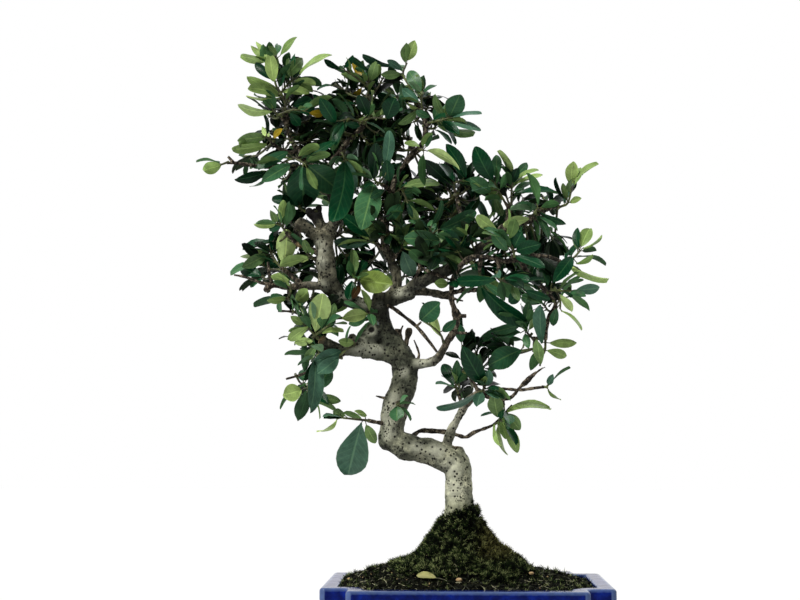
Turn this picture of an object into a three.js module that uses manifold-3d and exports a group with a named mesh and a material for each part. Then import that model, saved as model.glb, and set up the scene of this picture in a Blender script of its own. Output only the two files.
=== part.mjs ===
// Potted pyracantha bonsai: glazed pot, soil, moss, trunk with its branches, and leafy shoots.
// Millimetres, +Z up. The pot's feet stand on z = 0.
import * as THREE from "three";
import { mergeVertices } from "three/addons/utils/BufferGeometryUtils.js";
import Module from "manifold-3d";

const wasm = await Module();
wasm.setup();

// The pot: a rectangle with a square bite out of each corner, a flat rim and four low feet
const POT = {
  width: 220,
  depth: 165,
  height: 72,
  biteX: 21,
  biteY: 20.5,
  cornerRadius: 5,
  leastRadius: 1.5,
  leastFlat: 1,
  coveRadius: 4,
  rimWidth: 13,
  rimHeight: 10,
  rimOverhang: 3.5,
  rimRound: 2.5,
  edgeRound: 1.5,
  floorInset: 9,
  floorRound: 3,
  floorThickness: 6,
  footHeight: 8,
};
const CORNER_STEPS = 2;
const FOOT = {
  length: 38,
  depth: 15,
  fromMiddleX: 62,
  fromMiddleY: 62,
  taper: 2,
  cornerCut: 3,
  sunk: 3,
};
const DRAIN = { radius: 8, fromMiddle: 45, sides: 12 };

// The trunk's foot: where it stands, and [height, radius] on the way up
const TRUNK_FOOT = { x: -6, y: 0 };
const TRUNK_FLARE = [
  [40, 16.5],
  [64, 16],
  [90, 14.6],
  [108, 13.4],
  [122, 12],
];
const FLARE_TOP = { u: 459, v: 497, radius: 11 };

// The mound: [distance from the trunk's axis, height of its mossy top]
const MOUND = [
  [12.8, 128],
  [17, 119],
  [23, 109.5],
  [31, 99.5],
  [42, 91.5],
  [56, 85],
  [76, 77.5],
  [100, 72.6],
  [130, 72],
];
const MOUND_SECTORS = 20;
const MOSS_RINGS = 6;
const MOSS_THICKNESS = 3;
const MOSS_EDGE_THICKNESS = 1.8;
// How the mound departs from a turned one: its rings wander and its surface is lumpy, less so at
// the trunk's collar, which is higher on the right, and its front and back fall away faster
const MOUND_SHAPE = {
  wander: 3,
  mossEdgeWander: 13,
  lumps: 2.6,
  collarLumps: 1,
  collarLean: 2.5,
  steeper: 0.35,
  steeperFrom: 20,
  steeperTo: 60,
};
const MOUND_SEED = 500;
const HOLE_CLEARANCE = 0.9;
const GAP = 0.35;

// Leaves and the green shoots that carry them. What a leaf draws lies between two values.
const LEAF = {
  thickness: 0.7,
  stalkHalfWidth: 0.55,
  shortestStalk: 3,
  widthToLength: 0.36,
  shortest: 15,
  arch: [0.035, 0.105],
};
// A leaf that shows from the front leaves its shoot up to `jointSpread` before its own foot, which
// lies up to half of `footScatter` before or behind the shoot; its true length is a little over the
// one that shows, and it leans by no more than `steepestLean` of that
const SHOWN_LEAF = {
  jointSpread: 7,
  jointMargin: 0.12,
  footScatter: 5,
  trueLength: [1.02, 1.22],
  steepestLean: 1.2,
};
// A leaf that a shoot grows of itself
const GROWN_LEAF = {
  length: [19, 33],
  fullness: [0.95, 1.2],
  spread: [0.9, 1.6],
  scatterAlong: 0.6,
  backwards: 0.6,
  droop: 0.12,
  outwardFace: 0.5,
  twist: 0.8,
};
// A blade's outline by its length: [share of the length, share of the width] at each station
const OUTLINES = [
  { upTo: 17, stations: [[0.52, 1]] },
  {
    upTo: 32,
    stations: [
      [0.33, 0.82],
      [0.7, 0.9],
    ],
  },
  {
    upTo: Infinity,
    stations: [
      [0.26, 0.7],
      [0.55, 1],
      [0.84, 0.64],
    ],
  },
];
const SHOOT = { sides: 3, rootRadius: 1.15, tipRadius: 0.75 };
const GOLDEN_ANGLE = Math.PI * (3 - Math.sqrt(5));

const FINISH = {
  glaze: { color: 0x12249b, roughness: 0.12, metalness: 0 },
  soil: { color: 0x1b1510, roughness: 0.95, metalness: 0 },
  moss: { color: 0x33451f, roughness: 0.95, metalness: 0 },
  bark: { color: 0x85867a, roughness: 0.85, metalness: 0 },
  foliage: { color: 0x2f5a30, roughness: 0.45, metalness: 0 },
  fallenLeaf: { color: 0xa8a53c, roughness: 0.5, metalness: 0 },
  pebble: { color: 0xb59a72, roughness: 0.8, metalness: 0 },
};

// The plant is laid out as it is seen from the front, a little below the middle of its crown:
// u runs to the right, v runs down, and y is the depth in millimetres, away from the eye.
const EYE = new THREE.Vector3(-8, -1071, 180.5);
const SHEET_MIDDLE = [400, 300];
const SHEET_DISTANCE = 1344;
const PITCH = THREE.MathUtils.degToRad(5.99);
const YAW = THREE.MathUtils.degToRad(2.37);
const AHEAD = new THREE.Vector3(
  -Math.sin(YAW) * Math.cos(PITCH),
  Math.cos(YAW) * Math.cos(PITCH),
  Math.sin(PITCH),
);
const SIDE = new THREE.Vector3(Math.cos(YAW), Math.sin(YAW), 0);
const OVER = new THREE.Vector3().crossVectors(SIDE, AHEAD);

// The point in millimetres that is seen at (u, v) and lies at depth y
function seen(u, v, y) {
  const ray = AHEAD.clone()
    .addScaledVector(SIDE, (u - SHEET_MIDDLE[0]) / SHEET_DISTANCE)
    .addScaledVector(OVER, (SHEET_MIDDLE[1] - v) / SHEET_DISTANCE);
  return EYE.clone().addScaledVector(ray, (y - EYE.y) / ray.y);
}

// The size in millimetres of what measures `size` on the sheet and lies at `point`
function seenSize(size, point) {
  return (size * point.clone().sub(EYE).dot(AHEAD)) / SHEET_DISTANCE;
}

// A repeatable draw between 0 and 1, by the mulberry32 rule
function drawFrom(seed) {
  let state = seed >>> 0;
  return () => {
    state = (state + 0x6d2b79f5) >>> 0;
    let t = state;
    t = Math.imul(t ^ (t >>> 15), t | 1);
    t ^= t + Math.imul(t ^ (t >>> 7), t | 61);
    return ((t ^ (t >>> 14)) >>> 0) / 4294967296;
  };
}

function lerp(a, b, t) {
  return a + (b - a) * t;
}

function between([low, high], share) {
  return lerp(low, high, share);
}

// A height read off a list of [distance, height], straight between its entries
function readOff(list, distance) {
  if (distance <= list[0][0]) return list[0][1];
  for (let i = 1; i < list.length; i++) {
    const [from, low] = list[i - 1];
    const [to, high] = list[i];
    if (distance <= to) return lerp(low, high, (distance - from) / (to - from));
  }
  return list.at(-1)[1];
}

// Solids

function solidOf(points, triangles) {
  const vertProperties = new Float32Array(points.flatMap((p) => [p.x, p.y, p.z]));
  const triVerts = new Uint32Array(triangles.flat());
  return new wasm.Manifold(new wasm.Mesh({ numProp: 3, vertProperties, triVerts }));
}

function solidFromGeometry(geometry) {
  geometry.deleteAttribute("normal");
  geometry.deleteAttribute("uv");
  const merged = mergeVertices(geometry);
  return new wasm.Manifold(
    new wasm.Mesh({
      numProp: 3,
      vertProperties: merged.attributes.position.array,
      triVerts: new Uint32Array(merged.index.array),
    }),
  );
}

function meshOf(solid, name, finish) {
  const { vertProperties, triVerts } = solid.getMesh();
  const geometry = new THREE.BufferGeometry()
    .setAttribute("position", new THREE.BufferAttribute(vertProperties, 3))
    .setIndex(new THREE.BufferAttribute(triVerts, 1));
  geometry.computeVertexNormals();
  const mesh = new THREE.Mesh(geometry, new THREE.MeshStandardMaterial(finish));
  mesh.name = name;
  return mesh;
}

// A skin over rings that all have the same number of points, anticlockwise seen from the last ring.
// Its ends are closed by a fan, from the ring's middle where `hub` is set.
function loft(rings, hub = false) {
  const count = rings[0].length;
  const points = rings.flat();
  const triangles = [];
  for (let k = 0; k + 1 < rings.length; k++) {
    for (let i = 0; i < count; i++) {
      const a = k * count + i;
      const b = k * count + ((i + 1) % count);
      triangles.push([a, b, b + count], [a, b + count, a + count]);
    }
  }
  const last = (rings.length - 1) * count;
  if (hub) {
    const middles = [rings[0], rings.at(-1)].map((ring) => {
      const sum = ring.reduce((total, p) => total.add(p), new THREE.Vector3());
      return points.push(sum.divideScalar(count)) - 1;
    });
    for (let i = 0; i < count; i++) {
      const next = (i + 1) % count;
      triangles.push([middles[0], next, i], [middles[1], last + i, last + next]);
    }
  } else {
    for (let i = 1; i + 1 < count; i++) {
      triangles.push([0, i + 1, i], [last, last + i, last + i + 1]);
    }
  }
  return solidOf(points, triangles);
}

// A skin over rings that run round and meet their own start, its squares split the other way than
// a loft's, so that what lies under the moss meets it facet for facet
function closedLoop(rings) {
  const count = rings[0].length;
  const triangles = [];
  rings.forEach((ring, k) => {
    const next = (k + 1) % rings.length;
    ring.forEach((_, i) => {
      const j = (i + 1) % count;
      const [a, b] = [k * count + i, k * count + j];
      const [c, d] = [next * count + j, next * count + i];
      triangles.push([a, b, d], [b, c, d]);
    });
  });
  return solidOf(rings.flat(), triangles);
}

const FIRST_SIDE = new THREE.Vector3(1, 0.3, 0.2);

// A round stem through `centres` with its own radius at each, and `bulge` for an uneven section
function stem(centres, radii, sides, bulge = () => 1) {
  const tangents = centres.map((_, i) => {
    const from = centres[Math.max(i - 1, 0)];
    const to = centres[Math.min(i + 1, centres.length - 1)];
    return to.clone().sub(from).normalize();
  });
  const side = FIRST_SIDE.clone();
  const rings = centres.map((centre, i) => {
    side.addScaledVector(tangents[i], -side.dot(tangents[i])).normalize();
    const other = new THREE.Vector3().crossVectors(tangents[i], side);
    return Array.from({ length: sides }, (_, j) => {
      const angle = (2 * Math.PI * j) / sides;
      const radius = radii[i] * bulge(angle, i);
      return centre
        .clone()
        .addScaledVector(side, radius * Math.cos(angle))
        .addScaledVector(other, radius * Math.sin(angle));
    });
  });
  return loft(rings);
}

// Pot

// The pot's outline moved inwards by `inset`, anticlockwise, with an arc at each of its 12 corners
function potOutline(inset) {
  const x = POT.width / 2 - inset;
  const y = POT.depth / 2 - inset;
  const round = Math.max(POT.cornerRadius - inset, POT.leastRadius);
  const cove = Math.min(POT.coveRadius + inset, POT.biteX - round - POT.leastFlat);
  const innerX = x - POT.biteX;
  const innerY = y - POT.biteY;
  const corner = (centreX, centreY, radius, from, to) =>
    Array.from({ length: CORNER_STEPS + 1 }, (_, i) => {
      const angle = lerp(from, to, i / CORNER_STEPS);
      return [centreX + radius * Math.cos(angle), centreY + radius * Math.sin(angle)];
    });
  const quarter = [
    ...corner(x - round, innerY - round, round, 0, Math.PI / 2),
    ...corner(innerX + cove, innerY + cove, cove, -Math.PI / 2, -Math.PI),
    ...corner(innerX - round, y - round, round, 0, Math.PI / 2),
  ];
  const backwards = [...quarter].reverse();
  return [
    ...quarter,
    ...backwards.map(([px, py]) => [-px, py]),
    ...quarter.map(([px, py]) => [-px, -py]),
    ...backwards.map(([px, py]) => [px, -py]),
  ];
}

function potRing(inset, z) {
  return potOutline(inset).map(([x, y]) => new THREE.Vector3(x, y, z));
}

function makePot() {
  const { height, rimWidth, rimRound, edgeRound, floorInset, floorRound, footHeight } = POT;
  const rimFoot = height - POT.rimHeight;
  const floorTop = footHeight + POT.floorThickness;
  const body = loft(
    [
      potRing(floorInset, footHeight),
      potRing(floorInset - floorRound, footHeight + floorRound),
      potRing(POT.rimOverhang, rimFoot - edgeRound),
      potRing(edgeRound / 2, rimFoot),
      potRing(0, rimFoot + edgeRound),
      potRing(0, height - rimRound),
      potRing(rimRound, height),
      potRing(rimWidth - edgeRound, height),
      potRing(rimWidth, height - edgeRound),
      potRing(rimWidth, floorTop),
    ],
    true,
  );
  const feet = [-1, 1].flatMap((right) => [-1, 1].map((back) => makeFoot(right, back)));
  const drains = [-1, 1].map((right) =>
    solidFromGeometry(
      new THREE.CylinderGeometry(DRAIN.radius, DRAIN.radius, 4 * POT.floorThickness, DRAIN.sides)
        .rotateX(Math.PI / 2)
        .translate(right * DRAIN.fromMiddle, 0, floorTop),
    ),
  );
  const footed = feet.reduce((whole, foot) => whole.add(foot), body);
  return drains.reduce((whole, drain) => whole.subtract(drain), footed);
}

function makeFoot(right, back) {
  const section = (shrink) => {
    const x = FOOT.length / 2 - shrink;
    const y = FOOT.depth / 2 - shrink;
    const cut = FOOT.cornerCut;
    return [
      [x, cut - y],
      [x, y - cut],
      [x - cut, y],
      [cut - x, y],
      [-x, y - cut],
      [-x, cut - y],
      [cut - x, -y],
      [x - cut, -y],
    ];
  };
  const ring = (shrink, z) =>
    section(shrink).map(
      ([x, y]) => new THREE.Vector3(right * FOOT.fromMiddleX + x, back * FOOT.fromMiddleY + y, z),
    );
  return loft([ring(FOOT.taper, 0), ring(0, POT.footHeight + FOOT.sunk)]);
}

// Soil and moss

// The rings of the mound: `lower` drops the whole surface, and the first ring hugs the trunk
function moundRing(k, lower) {
  const { wander, mossEdgeWander, lumps, collarLumps, collarLean } = MOUND_SHAPE;
  const { steeper, steeperFrom, steeperTo } = MOUND_SHAPE;
  const collar = k === 0;
  const shift = collar ? 0 : k === MOSS_RINGS - 1 ? mossEdgeWander : wander;
  const draw = drawFrom(MOUND_SEED + k);
  return Array.from({ length: MOUND_SECTORS }, (_, i) => {
    const angle = (2 * Math.PI * i) / MOUND_SECTORS;
    const radius = MOUND[k][0] + shift * (draw() - 0.5);
    const lump = (collar ? collarLumps : lumps) * (draw() - 0.5);
    const across = radius * Math.cos(angle);
    const along = radius * Math.sin(angle);
    const faster = 1 + steeper * THREE.MathUtils.smoothstep(radius, steeperFrom, steeperTo);
    const height = readOff(MOUND, Math.hypot(across, along * faster));
    const lean = collar ? collarLean * Math.cos(angle) : 0;
    return new THREE.Vector3(
      TRUNK_FOOT.x + across,
      TRUNK_FOOT.y + along,
      height + lean + lump - lower,
    );
  });
}

function trunkHole() {
  return TRUNK_FLARE.map(([z, radius]) =>
    Array.from({ length: MOUND_SECTORS }, (_, i) => {
      const angle = (2 * Math.PI * i) / MOUND_SECTORS;
      const reach = radius + HOLE_CLEARANCE;
      return new THREE.Vector3(
        TRUNK_FOOT.x + reach * Math.cos(angle),
        TRUNK_FOOT.y + reach * Math.sin(angle),
        z,
      );
    }),
  );
}

function makeSoil() {
  const soilFloor = POT.footHeight + POT.floorThickness + GAP;
  const lower = MOSS_THICKNESS + GAP;
  const outwards = MOUND.map((_, k) => moundRing(k, lower));
  const underneath = outwards.at(-1).map((p) => new THREE.Vector3(p.x, p.y, soilFloor));
  const hole = trunkHole();
  hole[0].forEach((p) => (p.z -= GAP));
  const rings = [underneath, ...outwards.reverse(), ...hole.reverse().slice(1)];
  const heap = loft(rings, true);
  const plugHeight = 2 * TRUNK_FLARE.at(-1)[0];
  const plug = loft(
    [
      potRing(POT.rimWidth + GAP, soilFloor),
      potRing(POT.rimWidth + GAP, plugHeight),
    ],
    true,
  );
  return heap.intersect(plug);
}

function makeMoss() {
  const top = Array.from({ length: MOSS_RINGS }, (_, k) => moundRing(k, 0));
  const under = Array.from({ length: MOSS_RINGS }, (_, k) => moundRing(k, MOSS_THICKNESS));
  top.at(-1).forEach((p, i) => (p.z = under.at(-1)[i].z + MOSS_EDGE_THICKNESS));
  return closedLoop([...under, ...top.reverse()]);
}

// Wood

// Each limb is a list of [u, v, y, thickness on the sheet]; the first point is sunk in its parent
const TRUNK_LIMBS = [
  // the upright foot, up to the pruned stub on its shoulder
  [
    [459, 500, 0, 27.5],
    [459, 486, 0, 27.5],
    [458, 472, 0, 27.5],
    [457.5, 461, 0, 25],
    [457.5, 453, 0, 17],
    [457, 447.5, 0, 10],
  ],
  // the leg that lies over to the left
  [
    [459, 468, 0, 21],
    [449, 460, 0, 27],
    [436, 454, -1, 27],
    [425, 451, -2, 26],
    [412, 448, -3, 25.5],
    [402, 445, -4, 25.5],
    [391, 440, -4, 21],
  ],
  // the rise and the turn back, up to the fork of the crown
  [
    [392, 449, -4, 15],
    [391.5, 442, -4, 24],
    [391.5, 431, -4, 25],
    [392.7, 420, -4, 25.5],
    [394.3, 410, -3, 26],
    [397.3, 400, -2, 26.5],
    [401.5, 390, -1, 25.5],
    [404.8, 380, 0, 25],
    [405, 370, 0, 25.5],
    [403, 360.5, 1, 26],
    [397, 351, 1, 25.5],
    [389.5, 341.5, 2, 24],
    [384, 332, 2, 21.5],
    [381, 321, 3, 19],
    [380, 310, 3, 18.5],
    [380, 300, 4, 18],
    [381, 292, 4, 14],
  ],
];
const THICK_LIMBS = [
  // left limb and its upright part
  [
    [379, 308, 3, 14],
    [366, 306, 1, 15],
    [356, 304.5, -2, 15],
    [348, 302, -5, 15],
    [340, 296.5, -8, 15.5],
    [333, 288, -10, 16],
    [328.5, 279, -12, 18],
    [326.8, 270, -13, 19.5],
    [325.5, 260, -14, 19.5],
    [325, 250, -14, 18.5],
    [323.5, 240, -14, 20],
    [323, 232, -14, 17],
  ],
  // lower left limb with its cut end
  [
    [389, 349, 1, 16],
    [378, 350, -3, 15],
    [366, 349.5, -9, 14],
    [356, 350, -15, 12.5],
    [346, 351, -20, 11],
    [337, 348, -24, 10],
    [328, 343.5, -28, 9.5],
    [321, 339.5, -30, 9],
  ],
  // limb along the left, ending in a small stub
  [
    [336, 291, -9, 9],
    [326, 287, -12, 8.5],
    [314, 286, -16, 7.5],
    [300, 286, -20, 7],
    [286, 287, -24, 6.5],
    [275, 285, -27, 6],
    [268, 287, -29, 5],
    [265, 291, -30, 4],
  ],
  // left fork of the left limb, and its broken end that hangs down
  [
    [321, 239, -14, 14],
    [313, 233.5, -16, 12],
    [305, 227, -18, 11],
    [297.5, 220.5, -20, 9],
  ],
  [
    [301, 223, -19, 9],
    [297.5, 231, -20, 8],
    [299, 244, -21, 5.5],
  ],
  // right fork of the left limb, up into the top left of the crown
  [
    [324, 238, -13, 13],
    [328, 229, -11, 11.5],
    [334, 220, -8, 10.5],
    [335, 207, -4, 9],
    [330, 193, 0, 8],
    [320, 176, 3, 7.5],
    [307, 160, 5, 6.5],
    [295, 146, 6, 5.5],
    [288, 132, 4, 5],
    [286, 120, 2, 4.6],
    [285, 105, 0, 4],
  ],
  // right limbs: the first one forks into a pale cut end, and a dark limb to the right of the crown
  [
    [381, 301, 4, 13],
    [391, 296.5, 3, 12],
    [400, 293, 1, 11.5],
    [408, 290.5, 0, 10.5],
    [421, 291, 2, 8.5],
    [431, 293, 5, 8],
    [441, 295, 8, 7.5],
    [452, 297, 10, 6.5],
  ],
  [
    [398, 294, 1, 11],
    [407, 289.5, -5, 11.5],
    [415, 285, -9, 12],
    [430, 278, -13, 12],
    [445, 272, -15, 11.5],
    [458, 264, -16, 11],
    [470, 255, -16, 10],
    [482, 246, -14, 8.5],
    [494, 236, -11, 8],
    [505, 228, -8, 7.5],
    [518, 224, -5, 6.5],
    [530, 220, -3, 6],
    [540, 212.5, 0, 5.4],
    [550, 208, 3, 4.8],
    [560, 206.5, 5, 4.4],
  ],
  // the leader, up through the middle of the crown
  [
    [391, 297, 2, 11],
    [396.5, 286, 3, 10.5],
    [396, 275, 4, 10],
    [392, 262, 4, 9.5],
    [387, 250, 4, 9],
    [384, 238, 5, 8.5],
    [385, 225, 6, 8],
    [388, 210, 7, 7.5],
    [391, 195, 7, 7],
    [394, 181, 6, 6.5],
    [401, 169, 6, 6.2],
    [410, 158, 6, 6],
    [419, 148, 7, 5.6],
    [425, 137, 8, 5.2],
    [425.5, 124, 8, 5],
    [423, 113, 8, 4.4],
  ],
  // the limb that swings out to the front on the right
  [
    [405, 364, 0, 9],
    [415, 363, -4, 8.5],
    [426, 362.5, -10, 8],
    [435, 360, -15, 8],
    [441, 352, -18, 7.5],
    [447, 342, -21, 7],
    [453, 332, -23, 7],
    [456, 323, -24, 6.8],
    [456.5, 315, -25, 6.5],
    [454, 307, -26, 6.3],
    [451.5, 298, -26, 6],
    [451.5, 289, -27, 5.8],
    [453, 280, -28, 5.6],
    [457, 271, -30, 5.4],
    [463, 263, -32, 5.2],
    [471, 257, -34, 5],
    [484, 257, -36, 4.8],
    [497, 259, -37, 4.8],
    [509, 261, -38, 4.6],
    [524, 258, -38, 4.4],
    [540, 255.5, -38, 4.2],
    [552, 258, -38, 4],
    [561, 262, -38, 3.6],
  ],
  // the lowest right limb, from the shoulder
  [
    [446, 448, -1, 11],
    [449, 437, -6, 10],
    [453, 428, -10, 9.5],
    [458, 418, -13, 9],
    [463, 408, -15, 8.5],
    [470, 400, -17, 8],
    [479, 394, -18, 6.5],
    [490, 397, -19, 5],
    [501, 398, -20, 4.6],
    [511, 397, -20, 4.4],
    [519, 388, -20, 4.2],
    [530, 378, -20, 4],
    [540, 370, -20, 3.6],
    [546, 366.5, -20, 3.2],
  ],
];
const TWIGS = [
  // from the left limb: a dead black stub, and the twig to its left
  [
    [324, 229, -12, 8],
    [318, 218, -13, 6.5],
    [313, 209, -14, 5],
  ],
  [
    [322, 254, -14, 7],
    [313, 250.5, -16, 6],
    [303, 247, -19, 5.5],
    [295, 242, -22, 5],
    [286, 232, -25, 4],
  ],
  // the upper left twigs
  [
    [299, 151, 5.5, 4.6],
    [288, 152.5, 2, 4],
    [277, 147, -3, 3.8],
    [271, 141, -6, 3.4],
  ],
  [
    [313, 168, 4, 5.5],
    [300, 167, 0, 5],
    [285, 167.5, -8, 4.6],
    [268, 167, -16, 4.2],
    [250, 165, -24, 3.8],
    [236, 163, -29, 3.6],
    [227, 163, -32, 3.2],
  ],
  [
    [234, 163, -29.5, 3.4],
    [228, 156.5, -31, 2.8],
  ],
  [
    [322, 179, 3, 6],
    [331, 163, 6, 5.5],
    [340, 151, 9, 5.2],
    [352, 137, 12, 5],
    [362, 128, 14, 4.6],
    [366, 119, 15, 4.2],
    [367, 106, 17, 4],
    [368, 95, 19, 3.6],
  ],
  [
    [286, 122, 2, 4.4],
    [280, 116, -4, 3.2],
  ],
  [
    [306, 160, 5, 5],
    [300, 158, -6, 4],
    [297, 158, -14, 3.4],
  ],
  [
    [340, 151, 9, 4.6],
    [342.5, 154, 0, 3.4],
  ],
  [
    [362, 128, 14, 4.4],
    [362, 124, 4, 3.4],
  ],
  // on the limb along the left
  [
    [273, 284.5, -27, 4],
    [262, 283, -30, 3],
    [245, 277, -32, 2.6],
    [234, 275, -34, 2.2],
  ],
  [
    [303, 286, -19, 6],
    [296, 280, -17, 5.5],
    [288, 273, -14, 5.2],
    [282, 268, -12, 4.4],
  ],
  [
    [273, 285, -27, 4.5],
    [270, 277, -29, 3.8],
    [268, 262, -32, 2.4],
  ],
  [
    [289, 287, -23, 4.5],
    [289, 294, -24, 3.4],
  ],
  [
    [324, 259, -14, 5],
    [314.5, 259, -17, 3.4],
  ],
  [
    [351, 303, -4, 5],
    [354, 294, -10, 4],
    [355, 285, -14, 3.4],
  ],
  // on the lower left limb and the trunk above it
  [
    [356, 347, -16, 6],
    [352, 338, -18, 7],
    [351.5, 335, -18, 4.5],
  ],
  [
    [324, 340.5, -29, 5],
    [317, 337, -35, 3.4],
  ],
  [
    [330, 345, -26, 5],
    [323, 355, -24, 4.5],
    [315, 368, -22, 4],
    [310, 379, -21, 3.4],
  ],
  [
    [315, 369, -22, 3],
    [300, 375, -20, 2.6],
    [286, 379, -19, 2],
  ],
  [
    [345, 352, -21, 5.5],
    [340, 357, -27, 3.6],
  ],
  [
    [377, 319, 2, 4],
    [358, 319, 4, 3.6],
    [340, 318, 5, 3.4],
    [312, 318.5, 2, 3],
    [293, 312, -2, 2.6],
    [278, 311, -4, 2.2],
  ],
  [
    [375, 318, 2, 5],
    [371, 315.5, -8, 3.4],
  ],
  [
    [381, 331, 2, 10],
    [372.5, 328.5, -6, 9.5],
  ],
  // stubs and spikes where the trunk turns
  [
    [398, 346, 1, 9],
    [398, 335, 1, 7.5],
    [398.5, 329, 1, 6],
  ],
  [
    [403, 353, 1, 8],
    [406.5, 341, 0, 6.5],
    [409, 331, -1, 6.5],
    [409.5, 328, -1, 4],
  ],
  [
    [399, 334, 1, 3],
    [403, 325.5, 0, 1.2],
  ],
  [
    [416, 363, -4, 3.5],
    [419, 354, -7, 2.6],
    [414, 340, -9, 1.2],
  ],
  // on the trunk below
  [
    [388, 399, -3, 4],
    [376, 396, -8, 1.2],
  ],
  [
    [389, 424, -4, 6],
    [378, 422.5, -14, 4.6],
    [368, 420.5, -20, 3.6],
  ],
  [
    [397, 402, -3, 5],
    [397.5, 403, -17, 3.4],
  ],
  // the dead twig low on the right
  [
    [412, 437, 3, 6],
    [420, 431, 11, 5.5],
    [432, 431, 15, 5.2],
    [445, 432, 17, 5],
    [457, 435, 19, 4.8],
    [466, 437, 20, 4.6],
    [475, 432, 21, 4.4],
    [493, 425, 23, 4],
    [503, 416, 24, 3.4],
    [512, 405, 25, 2.4],
  ],
  // on the leader
  [
    [388, 252, 4, 5],
    [380, 246, 2, 4],
    [376.5, 244, 0, 3.4],
  ],
  [
    [392, 261, 4, 5],
    [397, 253, -2, 4],
    [399, 250.5, -4, 3.4],
  ],
  [
    [391, 192, 7, 5],
    [386, 187, 0, 4],
    [381, 184, -4, 3.4],
  ],
  [
    [391, 197, 7, 4.5],
    [396, 193, -3, 3.4],
  ],
  [
    [415, 153, 6, 4.6],
    [420, 150, -2, 3.4],
  ],
  [
    [425.5, 127, 8, 4.5],
    [430, 123, 3, 3.4],
  ],
  [
    [423.5, 118, 8, 4.2],
    [415, 100, 14, 3.8],
    [409, 86, 18, 3.4],
  ],
  // on the dark limb
  [
    [415, 284, -9, 4.6],
    [418, 272, -14, 4],
    [423, 269, -16, 3.8],
    [432, 273, -18, 3.6],
    [446, 278, -20, 3.2],
  ],
  [
    [418, 273, -14, 3.6],
    [421, 262, -16, 3.4],
    [426, 256, -17, 3.4],
    [433, 252.5, -18, 3.2],
  ],
  [
    [468, 257, -16, 6],
    [466, 243, -8, 5.2],
    [463, 228, 0, 4.8],
    [460, 212, 6, 4.4],
    [455, 190, 10, 3.4],
  ],
  [
    [503, 230, -8, 5.6],
    [508, 218, -2, 5],
    [508, 208, 3, 4.4],
    [505.5, 203, 5, 3.6],
  ],
  [
    [508, 211, 2, 4.2],
    [511, 203, 7, 3.4],
  ],
  [
    [536, 216, -2, 4.4],
    [538, 211.5, -9, 3.2],
  ],
  // the thin dark twig across the gap
  [
    [384, 303, 3, 5],
    [393, 308, -3, 4],
    [405, 317, -8, 3.8],
    [417, 327, -11, 3.6],
    [428, 340, -12, 3.2],
    [437, 352, -12, 2.8],
  ],
  [
    [416, 327, -11, 3.2],
    [421, 322, -13, 2.4],
  ],
  // on the limb that swings out to the front
  [
    [457, 316, -25, 5],
    [466, 316, -27, 4],
  ],
  [
    [453, 333, -23, 4],
    [467, 333, -27, 2.4],
  ],
  [
    [451, 298, -26, 3.4],
    [463, 301, -30, 1.4],
  ],
  [
    [452, 294, -27, 3.4],
    [465, 287, -32, 2.2],
  ],
  [
    [445, 346, -20, 4.4],
    [443, 341, -28, 3.2],
  ],
  [
    [509, 261, -38, 4.4],
    [513, 255, -40, 3.2],
  ],
  [
    [496, 259, -37, 4.2],
    [499, 266, -41, 3.8],
    [498, 273, -44, 3.2],
  ],
  [
    [481, 257, -36, 4.2],
    [480, 265, -31, 3.6],
    [479.5, 272, -28, 3.2],
  ],
  [
    [519, 259, -38, 5],
    [526, 270, -33, 4.8],
    [535, 280, -29, 4.6],
    [545, 290, -26, 4.6],
    [554, 300, -24, 4.4],
    [555, 307, -23, 4.4],
    [549, 316, -21, 4.2],
    [546, 330, -19, 4],
    [545.5, 340, -18, 3.4],
  ],
  [
    [548, 293, -25, 4],
    [553, 290.5, -30, 3.2],
  ],
  [
    [546, 333, -18, 4],
    [539, 338, -12, 3.6],
    [533, 338, -8, 3.2],
  ],
  [
    [535, 339, -9, 3],
    [533, 352, -7, 1.8],
  ],
  // on the lowest right limb
  [
    [482, 394.5, -18, 4.2],
    [490, 390.5, -23, 3.4],
    [505, 389, -27, 3.2],
    [520, 390, -30, 3],
    [535, 388, -32, 3],
    [544, 387, -33, 2.8],
  ],
  [
    [479, 394, -18, 5],
    [475, 385, -15, 4.4],
    [470, 377, -13, 4.2],
    [463, 368, -12, 3],
  ],
  [
    [480, 394, -18, 4.5],
    [482, 391.5, -26, 3.4],
  ],
  [
    [463, 408, -15, 4.5],
    [460, 399, -12, 3.6],
    [457.5, 391, -10, 3.2],
  ],
  [
    [503, 398, -20, 4],
    [503.5, 405, -22, 3.2],
  ],
  // towards the back of the crown
  [
    [385, 226, 6, 6],
    [380, 215, 25, 5],
    [372, 200, 45, 4.4],
    [365, 190, 60, 3.6],
  ],
  [
    [326, 233, -11, 7],
    [335, 235, 15, 6],
    [340, 232, 38, 5],
    [342, 222, 60, 3.8],
  ],
  [
    [452, 268, -15, 7],
    [460, 262, 10, 6],
    [470, 255, 38, 5],
    [480, 245, 62, 3.8],
  ],
  [
    [413, 155, 6, 5],
    [412, 148, 25, 4.4],
    [408, 135, 45, 3.6],
  ],
  [
    [441, 295, 8, 6],
    [455, 292, 25, 5.2],
    [475, 290, 42, 4.6],
    [495, 290, 58, 3.8],
  ],
];
const LIMB_SIDES = { trunk: 10, thick: 5, twig: 4, thinTwig: 3 };
const THIN_TWIG = 6.2;
const STRAIGHT_WITHIN = 1.4;
// Flutes in the trunk's bark: how many, how deep as a share of its radius, and their turn per ring
const FLUTES = [
  { count: 3, depth: 0.05, turn: 0.5 },
  { count: 5, depth: 0.03, turn: -0.9 },
];

// The entries of a limb that its course needs: those between are dropped where it stays straight
function straightened(list, centres) {
  const kept = [0];
  for (let from = 0; from < list.length - 1; ) {
    let to = from + 1;
    while (to + 1 < list.length && staysStraight(list, centres, from, to + 1)) to++;
    kept.push(to);
    from = to;
  }
  return kept;
}

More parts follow.
